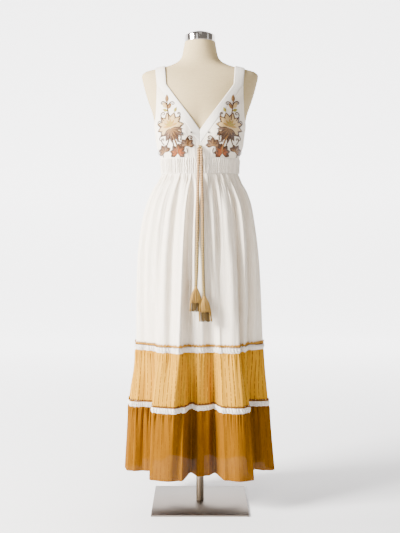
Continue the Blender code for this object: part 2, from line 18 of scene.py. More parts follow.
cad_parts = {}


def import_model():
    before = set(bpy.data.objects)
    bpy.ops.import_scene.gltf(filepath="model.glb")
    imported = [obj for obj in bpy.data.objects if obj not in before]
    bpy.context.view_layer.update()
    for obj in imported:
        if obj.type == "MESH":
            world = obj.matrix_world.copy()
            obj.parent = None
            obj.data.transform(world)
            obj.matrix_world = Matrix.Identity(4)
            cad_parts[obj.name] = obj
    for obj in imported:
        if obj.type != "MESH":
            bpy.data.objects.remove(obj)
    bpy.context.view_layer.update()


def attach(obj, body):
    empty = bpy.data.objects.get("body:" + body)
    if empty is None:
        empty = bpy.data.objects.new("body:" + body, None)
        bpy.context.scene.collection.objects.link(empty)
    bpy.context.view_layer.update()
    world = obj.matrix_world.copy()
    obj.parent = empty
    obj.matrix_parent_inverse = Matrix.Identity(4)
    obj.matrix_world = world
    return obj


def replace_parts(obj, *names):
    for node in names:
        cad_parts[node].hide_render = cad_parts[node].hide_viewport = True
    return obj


LOG = logging.getLogger("maxi_dress")
BODY = "root"
UV_NAME = "Cloth"


class Section(NamedTuple):
    """One level of a body: its reach from the pole's axis to each side."""

    height: float
    left: float
    right: float
    front: float
    back: float


class Fold(NamedTuple):
    """One crest or trough: its place round the body in degrees and its push in metres."""

    angle: float
    push: float


class Neckline(NamedTuple):
    """One face of the V neck: its point, the strap's bend and the band's drop at the point."""

    point: float
    bend_reach: float
    bend_height: float
    drop: float

    @property
    def slope(self) -> float:
        """How far the neckline moves out for each metre up."""
        return self.bend_reach / (self.bend_height - self.point)


class Strip(NamedTuple):
    """A stretch of cloth between two heights."""

    low: float
    high: float


FORM = (
    Section(0.740, 0.150, 0.150, 0.086, 0.102),
    Section(0.748, 0.154, 0.154, 0.090, 0.106),
    Section(0.870, 0.164, 0.164, 0.096, 0.116),
    Section(0.960, 0.149, 0.149, 0.094, 0.106),
    Section(1.020, 0.130, 0.130, 0.090, 0.093),
    Section(1.070, 0.1215, 0.1215, 0.088, 0.086),
    Section(1.117, 0.1245, 0.1245, 0.092, 0.088),
    Section(1.160, 0.1375, 0.1375, 0.100, 0.092),
    Section(1.205, 0.1430, 0.1430, 0.104, 0.096),
    Section(1.252, 0.1510, 0.1510, 0.102, 0.100),
    Section(1.316, 0.1720, 0.1720, 0.092, 0.100),
    Section(1.360, 0.1840, 0.1840, 0.077, 0.090),
    Section(1.386, 0.1890, 0.1890, 0.062, 0.072),
    Section(1.3985, 0.1780, 0.1780, 0.053, 0.061),
    Section(1.4070, 0.1500, 0.1500, 0.048, 0.054),
    Section(1.4145, 0.1170, 0.1170, 0.046, 0.050),
    Section(1.4240, 0.0880, 0.0880, 0.045, 0.049),
    Section(1.4360, 0.0680, 0.0680, 0.045, 0.049),
    Section(1.4510, 0.0585, 0.0585, 0.046, 0.049),
    Section(1.4720, 0.0540, 0.0540, 0.047, 0.048),
    Section(1.5005, 0.0490, 0.0490, 0.0475, 0.0475),
)
BUST_REACH = 0.068
BUST_HEIGHT = 1.200
BUST_PUSH = 0.024
BUST_HALF_WIDTH = 0.054
BUST_HALF_HEIGHT = 0.061
SKIRT = (
    Section(0.1050, 0.2425, 0.2440, 0.1040, 0.1620),
    Section(0.3300, 0.2290, 0.2230, 0.1060, 0.1580),
    Section(0.5200, 0.2085, 0.2055, 0.1100, 0.1550),
    Section(0.6800, 0.2065, 0.1990, 0.1120, 0.1530),
    Section(0.7900, 0.2030, 0.1920, 0.1120, 0.1500),
    Section(0.8850, 0.1920, 0.1810, 0.1100, 0.1430),
    Section(0.9600, 0.1760, 0.1680, 0.1070, 0.1300),
    Section(1.0150, 0.1540, 0.1490, 0.1020, 0.1120),
    Section(1.0400, 0.1385, 0.1370, 0.0970, 0.0990),
    Section(1.0670, 0.1247, 0.1247, 0.0912, 0.0892),
)
UPPER_FOLDS = (
    Fold(-90.0, 0.000), Fold(-78.0, 0.003), Fold(-64.0, -0.003), Fold(-50.0, 0.004),
    Fold(-38.0, -0.001), Fold(-33.0, 0.003), Fold(-27.0, -0.003), Fold(-15.0, 0.0105),
    Fold(-9.8, -0.011), Fold(-4.5, 0.004), Fold(4.0, 0.003), Fold(10.0, -0.005),
    Fold(14.5, 0.003), Fold(19.5, -0.004), Fold(30.0, 0.0105), Fold(38.5, -0.009),
    Fold(47.0, 0.006), Fold(56.0, -0.009), Fold(68.0, 0.004), Fold(80.0, -0.002),
    Fold(90.0, 0.000), Fold(102.0, -0.006), Fold(114.0, 0.006), Fold(128.0, -0.007),
    Fold(142.0, 0.007), Fold(154.0, -0.008), Fold(166.0, 0.005), Fold(178.0, -0.009),
    Fold(192.0, 0.007), Fold(206.0, -0.006), Fold(220.0, 0.007), Fold(234.0, -0.008),
    Fold(248.0, 0.005), Fold(260.0, -0.004), Fold(270.0, 0.000),
)
HEM_FOLDS = (
    Fold(-90.0, 0.000), Fold(-83.0, -0.002), Fold(-73.0, -0.016), Fold(-59.0, -0.044),
    Fold(-47.0, -0.052), Fold(-36.0, 0.040), Fold(-24.0, 0.046), Fold(-13.0, 0.034),
    Fold(-8.0, -0.062), Fold(-1.0, -0.021), Fold(6.5, -0.030), Fold(12.5, -0.058),
    Fold(18.0, 0.030), Fold(29.0, 0.052), Fold(38.0, 0.048), Fold(48.5, -0.060),
    Fold(61.0, -0.058), Fold(74.0, -0.028), Fold(83.0, -0.005), Fold(90.0, 0.000),
    Fold(103.0, -0.022), Fold(117.0, 0.022), Fold(131.0, -0.034), Fold(146.0, 0.026),
    Fold(160.0, -0.030), Fold(174.0, 0.022), Fold(187.0, -0.036), Fold(202.0, 0.028),
    Fold(216.0, -0.026), Fold(231.0, 0.030), Fold(246.0, -0.034), Fold(259.0, 0.010),
    Fold(270.0, 0.000),
)
UPPER_FOLD_GROWTH = ((0.330, 0.0), (0.520, 0.6), (0.620, 1.0), (0.930, 1.0), (1.020, 0.4), (1.067, 0.0))
HEM_FOLD_GROWTH = ((0.105, 1.0), (0.330, 0.82), (0.520, 0.30), (0.700, 0.12), (0.900, 0.0))
FRONT_NECK = Neckline(1.200, 0.106, 1.349, 0.043)
BACK_NECK = Neckline(1.270, 0.106, 1.362, 0.033)
CLEARANCE = 0.0024
FORM_ROOM = 1.028
PROBE_TURN = 0.004
PROBE_RISE = 0.0004
CLOTH = 0.0012


# Measured bodies


def eased(share: np.ndarray) -> np.ndarray:
    """A share from 0 to 1 with soft ends."""
    share = np.clip(share, 0.0, 1.0)
    return share * share * (3.0 - 2.0 * share)


class Profile:
    """A body's sections, read at any heights along a smooth curve that never overshoots."""

    def __init__(self, rows: Sequence[Section]):
        """Keep the sections and the slopes between them.

        Args:
            rows: the sections from the lowest to the highest.
        """
        data = np.array(rows, dtype=float)
        self.spots = data[:, 0]
        self.values = data[:, 1:]
        steps = np.diff(self.values, axis=0) / np.diff(self.spots)[:, None]
        self.slopes = np.zeros_like(self.values)
        self.slopes[0] = steps[0]
        self.slopes[-1] = steps[-1]
        product = steps[:-1] * steps[1:]
        total = steps[:-1] + steps[1:]
        safe = np.where(np.abs(total) > 1e-12, total, 1.0)
        self.slopes[1:-1] = np.where(product > 0.0, 2.0 * product / safe, 0.0)

    def at(self, heights: np.ndarray) -> np.ndarray:
        """Read the sections at some heights.

        Args:
            heights: heights in any array shape.

        Returns:
            The reach to the left, right, front and back, in a last axis of four.
        """
        z = np.clip(np.asarray(heights, dtype=float), self.spots[0], self.spots[-1])
        k = np.clip(np.searchsorted(self.spots, z, side="right") - 1, 0, len(self.spots) - 2)
        span = self.spots[k + 1] - self.spots[k]
        s = ((z - self.spots[k]) / span)[..., None]
        span = span[..., None]
        return (
            (1.0 + 2.0 * s) * (1.0 - s) ** 2 * self.values[k]
            + s * s * (3.0 - 2.0 * s) * self.values[k + 1]
            + s * (1.0 - s) ** 2 * span * self.slopes[k]
            + s * s * (s - 1.0) * span * self.slopes[k + 1]
        )


@dataclass(frozen=True)
class Crease:
    """A long soft trough, placed from its top to its lower end."""

    top_angle: float
    low_angle: float
    top: float
    low: float
    depth: float
    half_width: float

    def push(self, angle: np.ndarray, height: np.ndarray) -> np.ndarray:
        """The trough's push at angles and heights, none above its top or far below its end.

        Args:
            angle: angles in radians.
            height: heights in metres.

        Returns:
            The push, which is negative in the trough and slightly raised beside it.
        """
        share = np.clip((self.top - height) / (self.top - self.low), 0.0, 1.3)
        middle = np.radians(self.top_angle + (self.low_angle - self.top_angle) * share)
        offset = (angle - middle + np.pi) % (2.0 * np.pi) - np.pi
        place = offset / np.radians(self.half_width)
        along = eased(share / 0.12) * (1.0 - eased((share - 0.55) / 0.75))
        return self.depth * along * (0.45 * np.exp(-((np.abs(place) - 1.9) ** 2)) - np.exp(-(place**2)))


SKIRT_CREASES = (
    Crease(-8.2, -15.0, 1.060, 0.200, 0.0210, 2.4), Crease(-25.0, -26.0, 1.060, 0.380, 0.0045, 2.8),
    Crease(-35.0, -39.0, 1.058, 0.620, 0.0022, 3.2), Crease(-48.0, -52.0, 1.055, 0.560, 0.0028, 3.6),
    Crease(-62.0, -66.0, 1.055, 0.560, 0.0030, 4.0), Crease(-76.0, -80.0, 1.055, 0.760, 0.0030, 4.0),
    Crease(-2.0, -2.5, 1.062, 0.800, 0.0035, 2.0), Crease(6.5, 7.0, 1.062, 0.420, 0.0080, 2.4),
    Crease(18.5, 17.5, 1.060, 0.700, 0.0070, 2.2), Crease(32.0, 30.0, 1.058, 0.800, 0.0030, 2.4),
    Crease(42.0, 37.5, 1.058, 0.300, 0.0190, 2.4), Crease(60.0, 56.0, 1.055, 0.480, 0.0120, 3.6),
    Crease(74.0, 70.0, 1.055, 0.560, 0.0060, 3.6), Crease(88.0, 85.0, 1.055, 0.720, 0.0045, 3.6),
    Crease(101.0, 104.0, 1.057, 0.560, 0.0060, 3.2), Crease(115.0, 112.0, 1.056, 0.800, 0.0045, 3.2),
    Crease(127.0, 129.0, 1.058, 0.600, 0.0065, 3.2), Crease(139.0, 141.0, 1.057, 0.740, 0.0045, 2.8),
    Crease(152.0, 155.0, 1.058, 0.540, 0.0070, 3.2), Crease(165.0, 166.0, 1.060, 0.780, 0.0050, 2.8),
    Crease(177.0, 179.0, 1.060, 0.560, 0.0070, 3.0), Crease(190.0, 188.0, 1.060, 0.700, 0.0050, 2.8),
    Crease(203.0, 206.0, 1.058, 0.560, 0.0065, 3.2), Crease(218.0, 216.0, 1.057, 0.780, 0.0045, 3.0),
    Crease(231.0, 234.0, 1.057, 0.580, 0.0065, 3.4), Crease(246.0, 243.0, 1.056, 0.720, 0.0050, 3.4),
    Crease(259.0, 260.0, 1.055, 0.620, 0.0050, 3.6),
)


FORM_PROFILE = Profile(FORM)
SKIRT_PROFILE = Profile(SKIRT)
Surface = Callable[[np.ndarray, np.ndarray], np.ndarray]


def fold_push(folds: Sequence[Fold], angle: np.ndarray) -> np.ndarray:
    """Read a table of folds round the body.

    Args:
        folds: crests and troughs in order round the body.
        angle: angles in radians.

    Returns:
        The push at each angle, eased from each crest to the next trough.
    """
    degrees = (np.degrees(angle) + 90.0) % 360.0 - 90.0
    places = np.array([fold.angle for fold in folds])
    pushes = np.array([fold.push for fold in folds])
    k = np.clip(np.searchsorted(places, degrees, side="right") - 1, 0, len(places) - 2)
    share = (degrees - places[k]) / (places[k + 1] - places[k])
    return pushes[k] + (pushes[k + 1] - pushes[k]) * (0.5 - 0.5 * np.cos(np.pi * share))


def growth(stops: Sequence[tuple[float, float]], height: np.ndarray) -> np.ndarray:
    """How far folds have opened at each height."""
    spots = np.array([stop[0] for stop in stops])
    values = np.array([stop[1] for stop in stops])
    z = np.clip(height, spots[0], spots[-1])
    k = np.clip(np.searchsorted(spots, z, side="right") - 1, 0, len(spots) - 2)
    share = eased((z - spots[k]) / (spots[k + 1] - spots[k]))
    return values[k] + (values[k + 1] - values[k]) * share


def oval(sections: np.ndarray, angle: np.ndarray) -> tuple[np.ndarray, np.ndarray, np.ndarray, np.ndarray]:
    """Points of section outlines and their outward directions.

    Args:
        sections: reaches to the left, right, front and back in the last axis.
        angle: angles in radians.

    Returns:
        x, y, outward x and outward y.
    """
    side = np.where(np.sin(angle) >= 0.0, sections[..., 1], sections[..., 0])
    depth = np.where(np.cos(angle) >= 0.0, sections[..., 2], sections[..., 3])
    across = depth * np.sin(angle)
    forward = -side * np.cos(angle)
    length = np.hypot(across, forward)
    return side * np.sin(angle), -depth * np.cos(angle), across / length, forward / length


def torso(angle: np.ndarray, height: np.ndarray) -> np.ndarray:
    """The dress form's surface at angles and heights."""
    angle, height = np.broadcast_arrays(angle, height)
    x, y, _, _ = oval(FORM_PROFILE.at(height), angle)
    facing = np.clip(2.5 * np.cos(angle), 0.0, 1.0)
    beside = (np.abs(x) - BUST_REACH) / BUST_HALF_WIDTH
    above = (height - BUST_HEIGHT) / BUST_HALF_HEIGHT
    return np.stack([x, y - BUST_PUSH * facing * np.exp(-(beside**2 + above**2)), height], axis=-1)


def skirt(angle: np.ndarray, height: np.ndarray) -> np.ndarray:
    """The outer surface of the skirt and its tiers at angles and heights, large folds included."""
    angle, height = np.broadcast_arrays(angle, height)
    x, y, out_x, out_y = oval(SKIRT_PROFILE.at(height), angle)
    push = fold_push(UPPER_FOLDS, angle) * growth(UPPER_FOLD_GROWTH, height)
    push = push + fold_push(HEM_FOLDS, angle) * growth(HEM_FOLD_GROWTH, height)
    push = push + sum(crease.push(angle, height) for crease in SKIRT_CREASES)
    return np.stack([x + out_x * push, y + out_y * push, height], axis=-1)


def lifted(surface: Surface, angle: np.ndarray, height: np.ndarray, lift: np.ndarray | float) -> np.ndarray:
    """Points of a surface moved straight out.

    Args:
        surface: the surface that the points lie on.
        angle: angles in radians.
        height: heights in metres.
        lift: how far each point moves out.

    Returns:
        The moved points.
    """
    angle, height = np.broadcast_arrays(angle, height)
    round_way = surface(angle + PROBE_TURN, height) - surface(angle - PROBE_TURN, height)
    up_way = surface(angle, height + PROBE_RISE) - surface(angle, height - PROBE_RISE)
    out = np.cross(round_way, up_way)
    out /= np.linalg.norm(out, axis=-1, keepdims=True)
    return surface(angle, height) + out * np.asarray(lift)[..., None]


def angle_at(reach: np.ndarray | float, height: np.ndarray | float) -> np.ndarray:
    """The angle at which the form's outline has a sideways reach."""
    return np.arcsin(np.clip(reach / FORM_PROFILE.at(height)[..., 1], 0.0, 1.0))


def ridge_height(reach: float) -> float:
    """The height at which the shoulder is as wide as a reach."""
    heights = np.linspace(1.390, 1.436, 2000)
    widths = FORM_PROFILE.at(heights)[..., 1]
    return float(heights[np.argmin(np.abs(widths - reach))])


# Meshes

MERGE = 0.000002
SEAM = 0.0000005
SHARP_EDGE = 50.0


def link(name: str, mesh: bpy.types.Mesh, material: bpy.types.Material) -> bpy.types.Object:
    """Put a mesh in the scene as a piece that rides on the part.

    Args:
        name: the piece's name.
        mesh: its mesh, in place.
        material: its finish.

    Returns:
        The new object.
    """
    mesh.materials.append(material)
    piece = bpy.data.objects.new(name, mesh)
    bpy.context.scene.collection.objects.link(piece)
    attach(piece, BODY)
    LOG.info("%s: %d faces", name, len(mesh.polygons))
    return piece


def kept(name: str, body: bmesh.types.BMesh, sharp: float | None = None) -> bpy.types.Mesh:
    """Turn edited geometry into a smooth mesh and free it.

    Args:
        name: the mesh's name.
        body: the geometry.
        sharp: the angle in degrees past which edges stay sharp.

    Returns:
        The new mesh.
    """
    mesh = bpy.data.meshes.new(name)
    body.to_mesh(mesh)
    body.free()
    mesh.shade_smooth()
    if sharp is not None:
        mesh.set_sharp_from_angle(angle=math.radians(sharp))
    return mesh


def grid_mesh(name: str, points: np.ndarray, flat: np.ndarray) -> bpy.types.Mesh:
    """A smooth sheet through rows of points, with a flat layout in metres.

    Args:
        name: the mesh's name.
        points: rows by columns of points, columns in the way of growing angle.
        flat: the same rows and columns of flat coordinates.

    Returns:
        The mesh.
    """
    rows, columns = points.shape[:2]
    sheet = bmesh.new()
    bmesh.ops.create_grid(sheet, x_segments=columns - 1, y_segments=rows - 1, size=0.5)
    mesh = kept(name, sheet)
    spots = np.empty(len(mesh.vertices) * 3)
    mesh.vertices.foreach_get("co", spots)
    spots = spots.reshape(-1, 3)
    column = np.rint((spots[:, 0] + 0.5) * (columns - 1)).astype(int)
    row = np.rint((spots[:, 1] + 0.5) * (rows - 1)).astype(int)
    mesh.vertices.foreach_set("co", points[row, column].ravel())
    corners = np.empty(len(mesh.loops), dtype=int)
    mesh.loops.foreach_get("vertex_index", corners)
    layer = mesh.uv_layers.new(name=UV_NAME)
    layer.data.foreach_set("uv", flat[row, column][corners].ravel())
    mesh.update()
    return mesh


def lengths(points: np.ndarray) -> np.ndarray:
    """How far along a line each of its points lies."""
    return np.concatenate([[0.0], np.cumsum(np.linalg.norm(np.diff(points, axis=0), axis=1))])


def flat_layout(points: np.ndarray) -> np.ndarray:
    """Lay a sheet's points out flat, by the lengths of its middle row and middle column."""
    rows, columns = points.shape[:2]
    u = lengths(points[rows // 2])
    v = lengths(points[:, columns // 2])
    return np.stack(np.broadcast_arrays(u[None, :], v[:, None]), axis=-1)


def close_ring(mesh: bpy.types.Mesh, lids: bool = False) -> None:
    """Close a sheet whose first and last columns meet, with lids where they are asked for."""
    ring = bmesh.new()
    ring.from_mesh(mesh)
    bmesh.ops.remove_doubles(ring, verts=ring.verts, dist=MERGE)
    if lids:
        bmesh.ops.holes_fill(ring, edges=[edge for edge in ring.edges if edge.is_boundary], sides=0)
    ring.to_mesh(mesh)
    ring.free()
    mesh.shade_smooth()


def turned_mesh(name: str, outline: Sequence[tuple[float, float]], steps: int) -> bpy.types.Mesh:
    """A closed body turned about the pole's axis.

    Args:
        name: the mesh's name.
        outline: radius and height pairs, from the bottom's middle round to the top's middle.
        steps: how many steps go round.

    Returns:
        The mesh.
    """
    body = bmesh.new()
    verts = [body.verts.new((radius, 0.0, height)) for radius, height in outline]
    edges = [body.edges.new(pair) for pair in zip(verts, verts[1:])]
    centre, up = (0.0, 0.0, 0.0), (0.0, 0.0, 1.0)
    bmesh.ops.spin(
        body, geom=[*verts, *edges], cent=centre, axis=up, angle=2.0 * math.pi, steps=steps, use_merge=True
    )
    bmesh.ops.remove_doubles(body, verts=body.verts, dist=MERGE)
    bmesh.ops.recalc_face_normals(body, faces=body.faces)
    return kept(name, body, SHARP_EDGE)


def halves(columns: int) -> list[tuple[str, np.ndarray]]:
    """The front and back half of a tube: its word and its angles."""
    starts = {"front": -np.pi / 2.0, "back": np.pi / 2.0}
    return [(word, np.linspace(start, start + np.pi, columns)) for word, start in starts.items()]


def closed_draws(dice: np.random.Generator, low: float, high: float, count: int) -> np.ndarray:
    """Random numbers round a ring, the last one like the first."""
    draws = dice.uniform(low, high, count)
    draws[-1] = draws[0]
    return draws


def gathered_sheet(name: str, node: str, points: np.ndarray, material: bpy.types.Material) -> None:
    """Build a hanging gathered sheet with a flat layout of its cloth.

    Args:
        name: the piece's name.
        node: the node that it stands for.
        points: rows by columns of points.
        material: its finish.
    """
    flat = flat_layout(points)
    piece = link(name, grid_mesh(name, points, flat), material)
    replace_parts(piece, node)


@dataclass(frozen=True)
class Gathers:
    """Uneven crests and troughs that start at a seam and fade with distance from it."""

    count: int
    rise: float
    reach: float
    half_width: float
    seed: int
    start: float = 0.35
    furrow: bool = False

    def push(self, angle: np.ndarray, away: np.ndarray) -> np.ndarray:
        """The push of all crests together.

        Args:
            angle: angles in radians.
            away: distance from the seam.

        Returns:
            The push at each point.
        """
        angle, away = np.broadcast_arrays(angle, away)
        dice = np.random.default_rng(self.seed)
        places = (np.arange(self.count) + dice.uniform(-0.38, 0.38, self.count)) * 2.0 * np.pi / self.count
        signs = np.where((np.arange(self.count) % 2 == 0) & (not self.furrow), 1.0, -0.9)
        signs = signs * dice.uniform(0.35, 1.0, self.count)
        reaches = self.reach * dice.uniform(0.45, 1.0, self.count) ** 2 * 1.8
        widths = self.half_width * dice.uniform(0.65, 1.35, self.count)
        drifts = dice.normal(0.0, 0.35, self.count) * self.half_width
        total = np.zeros(angle.shape)
        for place, sign, reach, width, drift in zip(places, signs, reaches, widths, drifts):
            offset = (angle - place - drift * away / reach + np.pi) % (2.0 * np.pi) - np.pi
            wide = width * (1.0 + away / (2.0 * reach))
            near = np.abs(offset) < 3.0 * wide
            total += np.where(near, sign * np.exp(-((offset / wide) ** 2) - (away / reach) ** 1.3), 0.0)
        ramp = self.start + (1.0 - self.start) * eased(away / 0.008)
        return self.rise * ramp * total


# Finishes

Socket = bpy.types.NodeSocket
Colour = tuple[float, float, float]


class Recipe:
    """A material under construction: adds nodes and joins them."""

    def __init__(self, name: str):
        """Start an empty material with its output."""
        self.material = bpy.data.materials.new(name)
        self.material.use_nodes = True
        self.tree = self.material.node_tree
        self.tree.nodes.clear()
        self.output = self.tree.nodes.new("ShaderNodeOutputMaterial")

    def node(self, kind: str, **settings: object) -> bpy.types.Node:
        """Add a node and set its properties."""
        made = self.tree.nodes.new(kind)
        for key, value in settings.items():
            setattr(made, key, value)
        return made

    def feed(self, target: Socket, value: object) -> None:
        """Give a socket its value: another socket's output, a colour or a plain value."""
        if isinstance(value, Socket):
            self.tree.links.new(value, target)
        elif isinstance(value, tuple) and target.type == "RGBA":
            target.default_value = (*value[:3], 1.0)
        else:
            target.default_value = value

    def filled(self, kind: str, values: dict[object, object], **settings: object) -> bpy.types.Node:
        """Add a node and feed its inputs.

        Args:
            kind: the node's type.
            values: what goes into its inputs, by their names or numbers.
            settings: its own properties.

        Returns:
            The node.
        """
        made = self.node(kind, **settings)
        for key, value in values.items():
            self.feed(made.inputs[key], value)
        return made

    def principled(self, **values: object) -> Socket:
        """A Principled shader, its inputs named with _ for each space."""
        named = {key.replace("_", " "): value for key, value in values.items()}
        return self.filled("ShaderNodeBsdfPrincipled", named).outputs[0]

    def math(self, operation: str, *values: object) -> Socket:
        """A Math node on sockets or numbers."""
        return self.filled("ShaderNodeMath", dict(enumerate(values)), operation=operation).outputs[0]

    def times(self, first: object, second: object) -> Socket:
        """The product of two sockets or numbers."""
        return self.math("MULTIPLY", first, second)

    def plus(self, first: object, second: object) -> Socket:
        """The sum of two sockets or numbers."""
        return self.math("ADD", first, second)

    def minus(self, first: object, second: object) -> Socket:
        """The first socket or number less the second."""
        return self.math("SUBTRACT", first, second)

    def waves(self, place: Socket, period: float) -> Socket:
        """A sine wave along a coordinate."""
        return self.math("SINE", self.times(place, 2.0 * math.pi / period))

    def axes(self, place: Socket) -> tuple[Socket, Socket, Socket]:
        """The three parts of a vector."""
        return tuple(self.filled("ShaderNodeSeparateXYZ", {0: place}).outputs)

    def flat_place(self) -> tuple[Socket, Socket, Socket]:
        """The cloth's flat coordinates: as a vector, across and up."""
        uv = self.node("ShaderNodeUVMap", uv_map=UV_NAME).outputs[0]
        return uv, *self.axes(uv)[:2]

    def object_place(self) -> Socket:
        """The piece's own coordinates."""
        return self.node("ShaderNodeTexCoord").outputs["Object"]

    def noise(self, place: Socket, scale: Sequence[float], detail: float = 2.0, rough: float = 0.5) -> Socket:
        """A noise pattern stretched by its scale in each direction."""
        mapping = self.filled("ShaderNodeMapping", {"Scale": scale, "Vector": place})
        values = {"Scale": 1.0, "Detail": detail, "Roughness": rough, "Vector": mapping.outputs[0]}
        return self.filled("ShaderNodeTexNoise", values).outputs["Fac"]

    def blend(self, share: Socket, first: object, second: object) -> Socket:
        """Mix two colours, each a socket or red, green and blue."""
        values = {"Factor": share, 6: first, 7: second}
        return self.filled("ShaderNodeMix", values, data_type="RGBA").outputs[2]

    def layered(self, share: object, first: Socket, second: Socket) -> Socket:
        """Mix two shaders."""
        return self.filled("ShaderNodeMixShader", {0: share, 1: first, 2: second}).outputs[0]

    def span(self, value: Socket, low: float, high: float) -> Socket:
        """Spread values between two numbers over 0 to 1, and hold them there."""
        values = {"Value": value, "From Min": low, "From Max": high}
        return self.filled("ShaderNodeMapRange", values, clamp=True).outputs["Result"]

    def bump(self, height: Socket, distance: float) -> Socket:
        """A bump from a height pattern in metres times the distance."""
        values = {"Strength": 1.0, "Distance": distance, "Height": height}
        return self.filled("ShaderNodeBump", values).outputs["Normal"]

    def finish(self, shader: Socket) -> bpy.types.Material:
        """Join the last shader to the output and hand the material over."""
        self.feed(self.output.inputs["Surface"], shader)
        return self.material


WEAVE = 0.0007


@dataclass(frozen=True)
class WovenCotton:
    """Thin cotton with an upright crinkle, a plain weave and fine dotted stripes, and painted shade in the
    crinkle's hollows.
    """

    name: str
    light: Colour
    shade: Colour
    stripe: Colour
    stripe_gap: float = 0.0062
    stripe_share: float = 0.09
    stripe_strength: float = 0.5
    glow: float = 0.10
    openness: float = 0.0
    hem_depth: float = 0.0
    crinkle: float = 0.0005
    dash: float = 330.0
    # How strongly the crinkle's painted shade and highlight show.
    crinkle_shade: float = 1.0
    stitched_width: float = 0.0
    gloss: float = 0.12

    def make(self) -> bpy.types.Material:
        """Build the cotton's material."""
        mix = Recipe(self.name)
        flat, across, up = mix.flat_place()
        crinkle = mix.noise(flat, (300.0, 20.0, 1.0), detail=3.0)
        slub = mix.noise(flat, (70.0, 7.0, 1.0))
        threads = mix.times(mix.waves(across, WEAVE), mix.waves(up, WEAVE))
        dots = self.dots(mix, across, up)
        # Painted shade and highlight: the crinkle's low places take the shaded tone and its ridges the lit
        # tone, by the same noise that raises the bump.
        tint = mix.blend(mix.span(crinkle, 0.35 - 0.4 * (1.0 - self.crinkle_shade), 0.7), self.shade, self.light)
        tint = mix.blend(mix.times(mix.span(slub, 0.4, 0.75), 0.35), tint, self.shade)
        tint = mix.blend(mix.times(dots, self.stripe_strength), tint, self.stripe)
        height = mix.plus(crinkle, mix.times(slub, 0.9))
        height = mix.plus(height, mix.times(threads, 0.05))
        height = mix.plus(height, mix.times(dots, 0.18))
        if self.hem_depth > 0.0:
            hem = mix.span(up, self.hem_depth, self.hem_depth - 0.0008)
            tint = mix.blend(mix.times(hem, 0.25), tint, self.shade)
            height = mix.plus(height, mix.times(hem, 0.9))
        if self.stitched_width > 0.0:
            from_edge = mix.math("MINIMUM", across, mix.minus(self.stitched_width, across))
            row = mix.math("LESS_THAN", mix.math("ABSOLUTE", mix.minus(from_edge, 0.0026)), 0.0004)
            stitch = mix.math("LESS_THAN", mix.math("FRACT", mix.times(up, 1.0 / 0.0028)), 0.72)
            tint = mix.blend(mix.times(row, 0.45), tint, self.stripe)
            height = mix.minus(mix.plus(height, mix.times(mix.times(row, stitch), 2.2)), row)
        normal = mix.bump(height, self.crinkle)
        cloth = mix.principled(Roughness=0.85, Specular_IOR_Level=self.gloss, Base_Color=tint, Normal=normal)
        through = mix.filled("ShaderNodeBsdfTranslucent", {"Color": tint, "Normal": normal}).outputs[0]
        cloth = mix.layered(self.glow, cloth, through)
        if self.openness > 0.0:
            cloth = mix.layered(self.openness, cloth, mix.node("ShaderNodeBsdfTransparent").outputs[0])
        return mix.finish(cloth)

    def dots(self, mix: Recipe, across: Socket, up: Socket) -> Socket:
        """Where the broken upright stripes show.

        Args:
            mix: the material's recipe.
            across: the cloth's coordinate across the stripes.
            up: the one along them.

        Returns:
            1 on a dash and 0 between, less on the weaker stripes.
        """
        cell = mix.times(across, 1.0 / self.stripe_gap)
        from_line = mix.math("ABSOLUTE", mix.minus(mix.math("FRACT", cell), 0.5))
        line = mix.math("LESS_THAN", from_line, self.stripe_share)
        number = mix.math("FLOOR", cell)
        place = mix.filled("ShaderNodeCombineXYZ", {0: mix.times(number, 3.7), 1: mix.times(up, self.dash)})
        dash = mix.filled("ShaderNodeTexNoise", {"Scale": 1.0, "Detail": 1.0, "Vector": place.outputs[0]})
        chance = mix.filled("ShaderNodeTexWhiteNoise", {"W": number}, noise_dimensions="1D")
        dots = mix.times(line, mix.span(dash.outputs["Fac"], 0.42, 0.47))
        return mix.times(dots, mix.span(chance.outputs["Value"], -0.6, 0.7))


@dataclass(frozen=True)
class FormLinen:
    """Beige linen stretched over the form."""

    name: str = "form_linen"
    light: Colour = (0.51, 0.395, 0.218)
    shade: Colour = (0.42, 0.318, 0.165)

    def make(self) -> bpy.types.Material:
        """Build the linen's material."""
        mix = Recipe(self.name)
        place = mix.object_place()
        upright = mix.noise(place, (900.0, 900.0, 60.0))
        level = mix.noise(place, (60.0, 60.0, 1100.0))
        cloud = mix.noise(place, (14.0, 14.0, 14.0), detail=3.0)
        weave = mix.plus(upright, level)
        # Painted shade and highlight: the weave's raised threads take the lit tone and its low places the
        # shaded tone.
        tint = mix.blend(mix.span(weave, 0.7, 1.3), self.shade, self.light)
        tint = mix.blend(mix.times(mix.span(cloud, 0.35, 0.7), 0.25), tint, self.shade)
        normal = mix.bump(weave, 0.0003)
        gloss = {"Roughness": 0.9, "Sheen_Weight": 0.05, "Specular_IOR_Level": 0.15}
        return mix.finish(mix.principled(Base_Color=tint, Normal=normal, **gloss))


@dataclass(frozen=True)
class BrushedSteel:
    """Steel with fine brush lines along one direction."""

    name: str
    tint: Colour
    lines: tuple[float, float, float]
    roughness: float = 0.34
    metallic: float = 1.0
    edge: float = 1.0
    stretch: float = 0.0

    def make(self) -> bpy.types.Material:
        """Build the steel's material."""
        mix = Recipe(self.name)
        place = mix.object_place()
        brush = mix.noise(place, self.lines, detail=4.0, rough=0.7)
        smear = mix.noise(place, (9.0, 9.0, 9.0))
        dark = tuple(value * 0.86 for value in self.tint)
        rough = mix.plus(mix.times(brush, 0.14), self.roughness - 0.09)
        values = {
            "Metallic": self.metallic,
            "Specular_Tint": (self.edge, self.edge, self.edge),
            "Base_Color": mix.blend(mix.span(brush, 0.3, 0.7), dark, self.tint),
            "Roughness": mix.plus(rough, mix.times(smear, 0.05)),
            "Normal": mix.bump(brush, 0.00003),
        }
        if self.stretch > 0.0:
            values["Anisotropic"] = self.stretch
            values["Tangent"] = mix.filled("ShaderNodeCombineXYZ", {0: 1.0}).outputs[0]
        return mix.finish(mix.principled(**values))


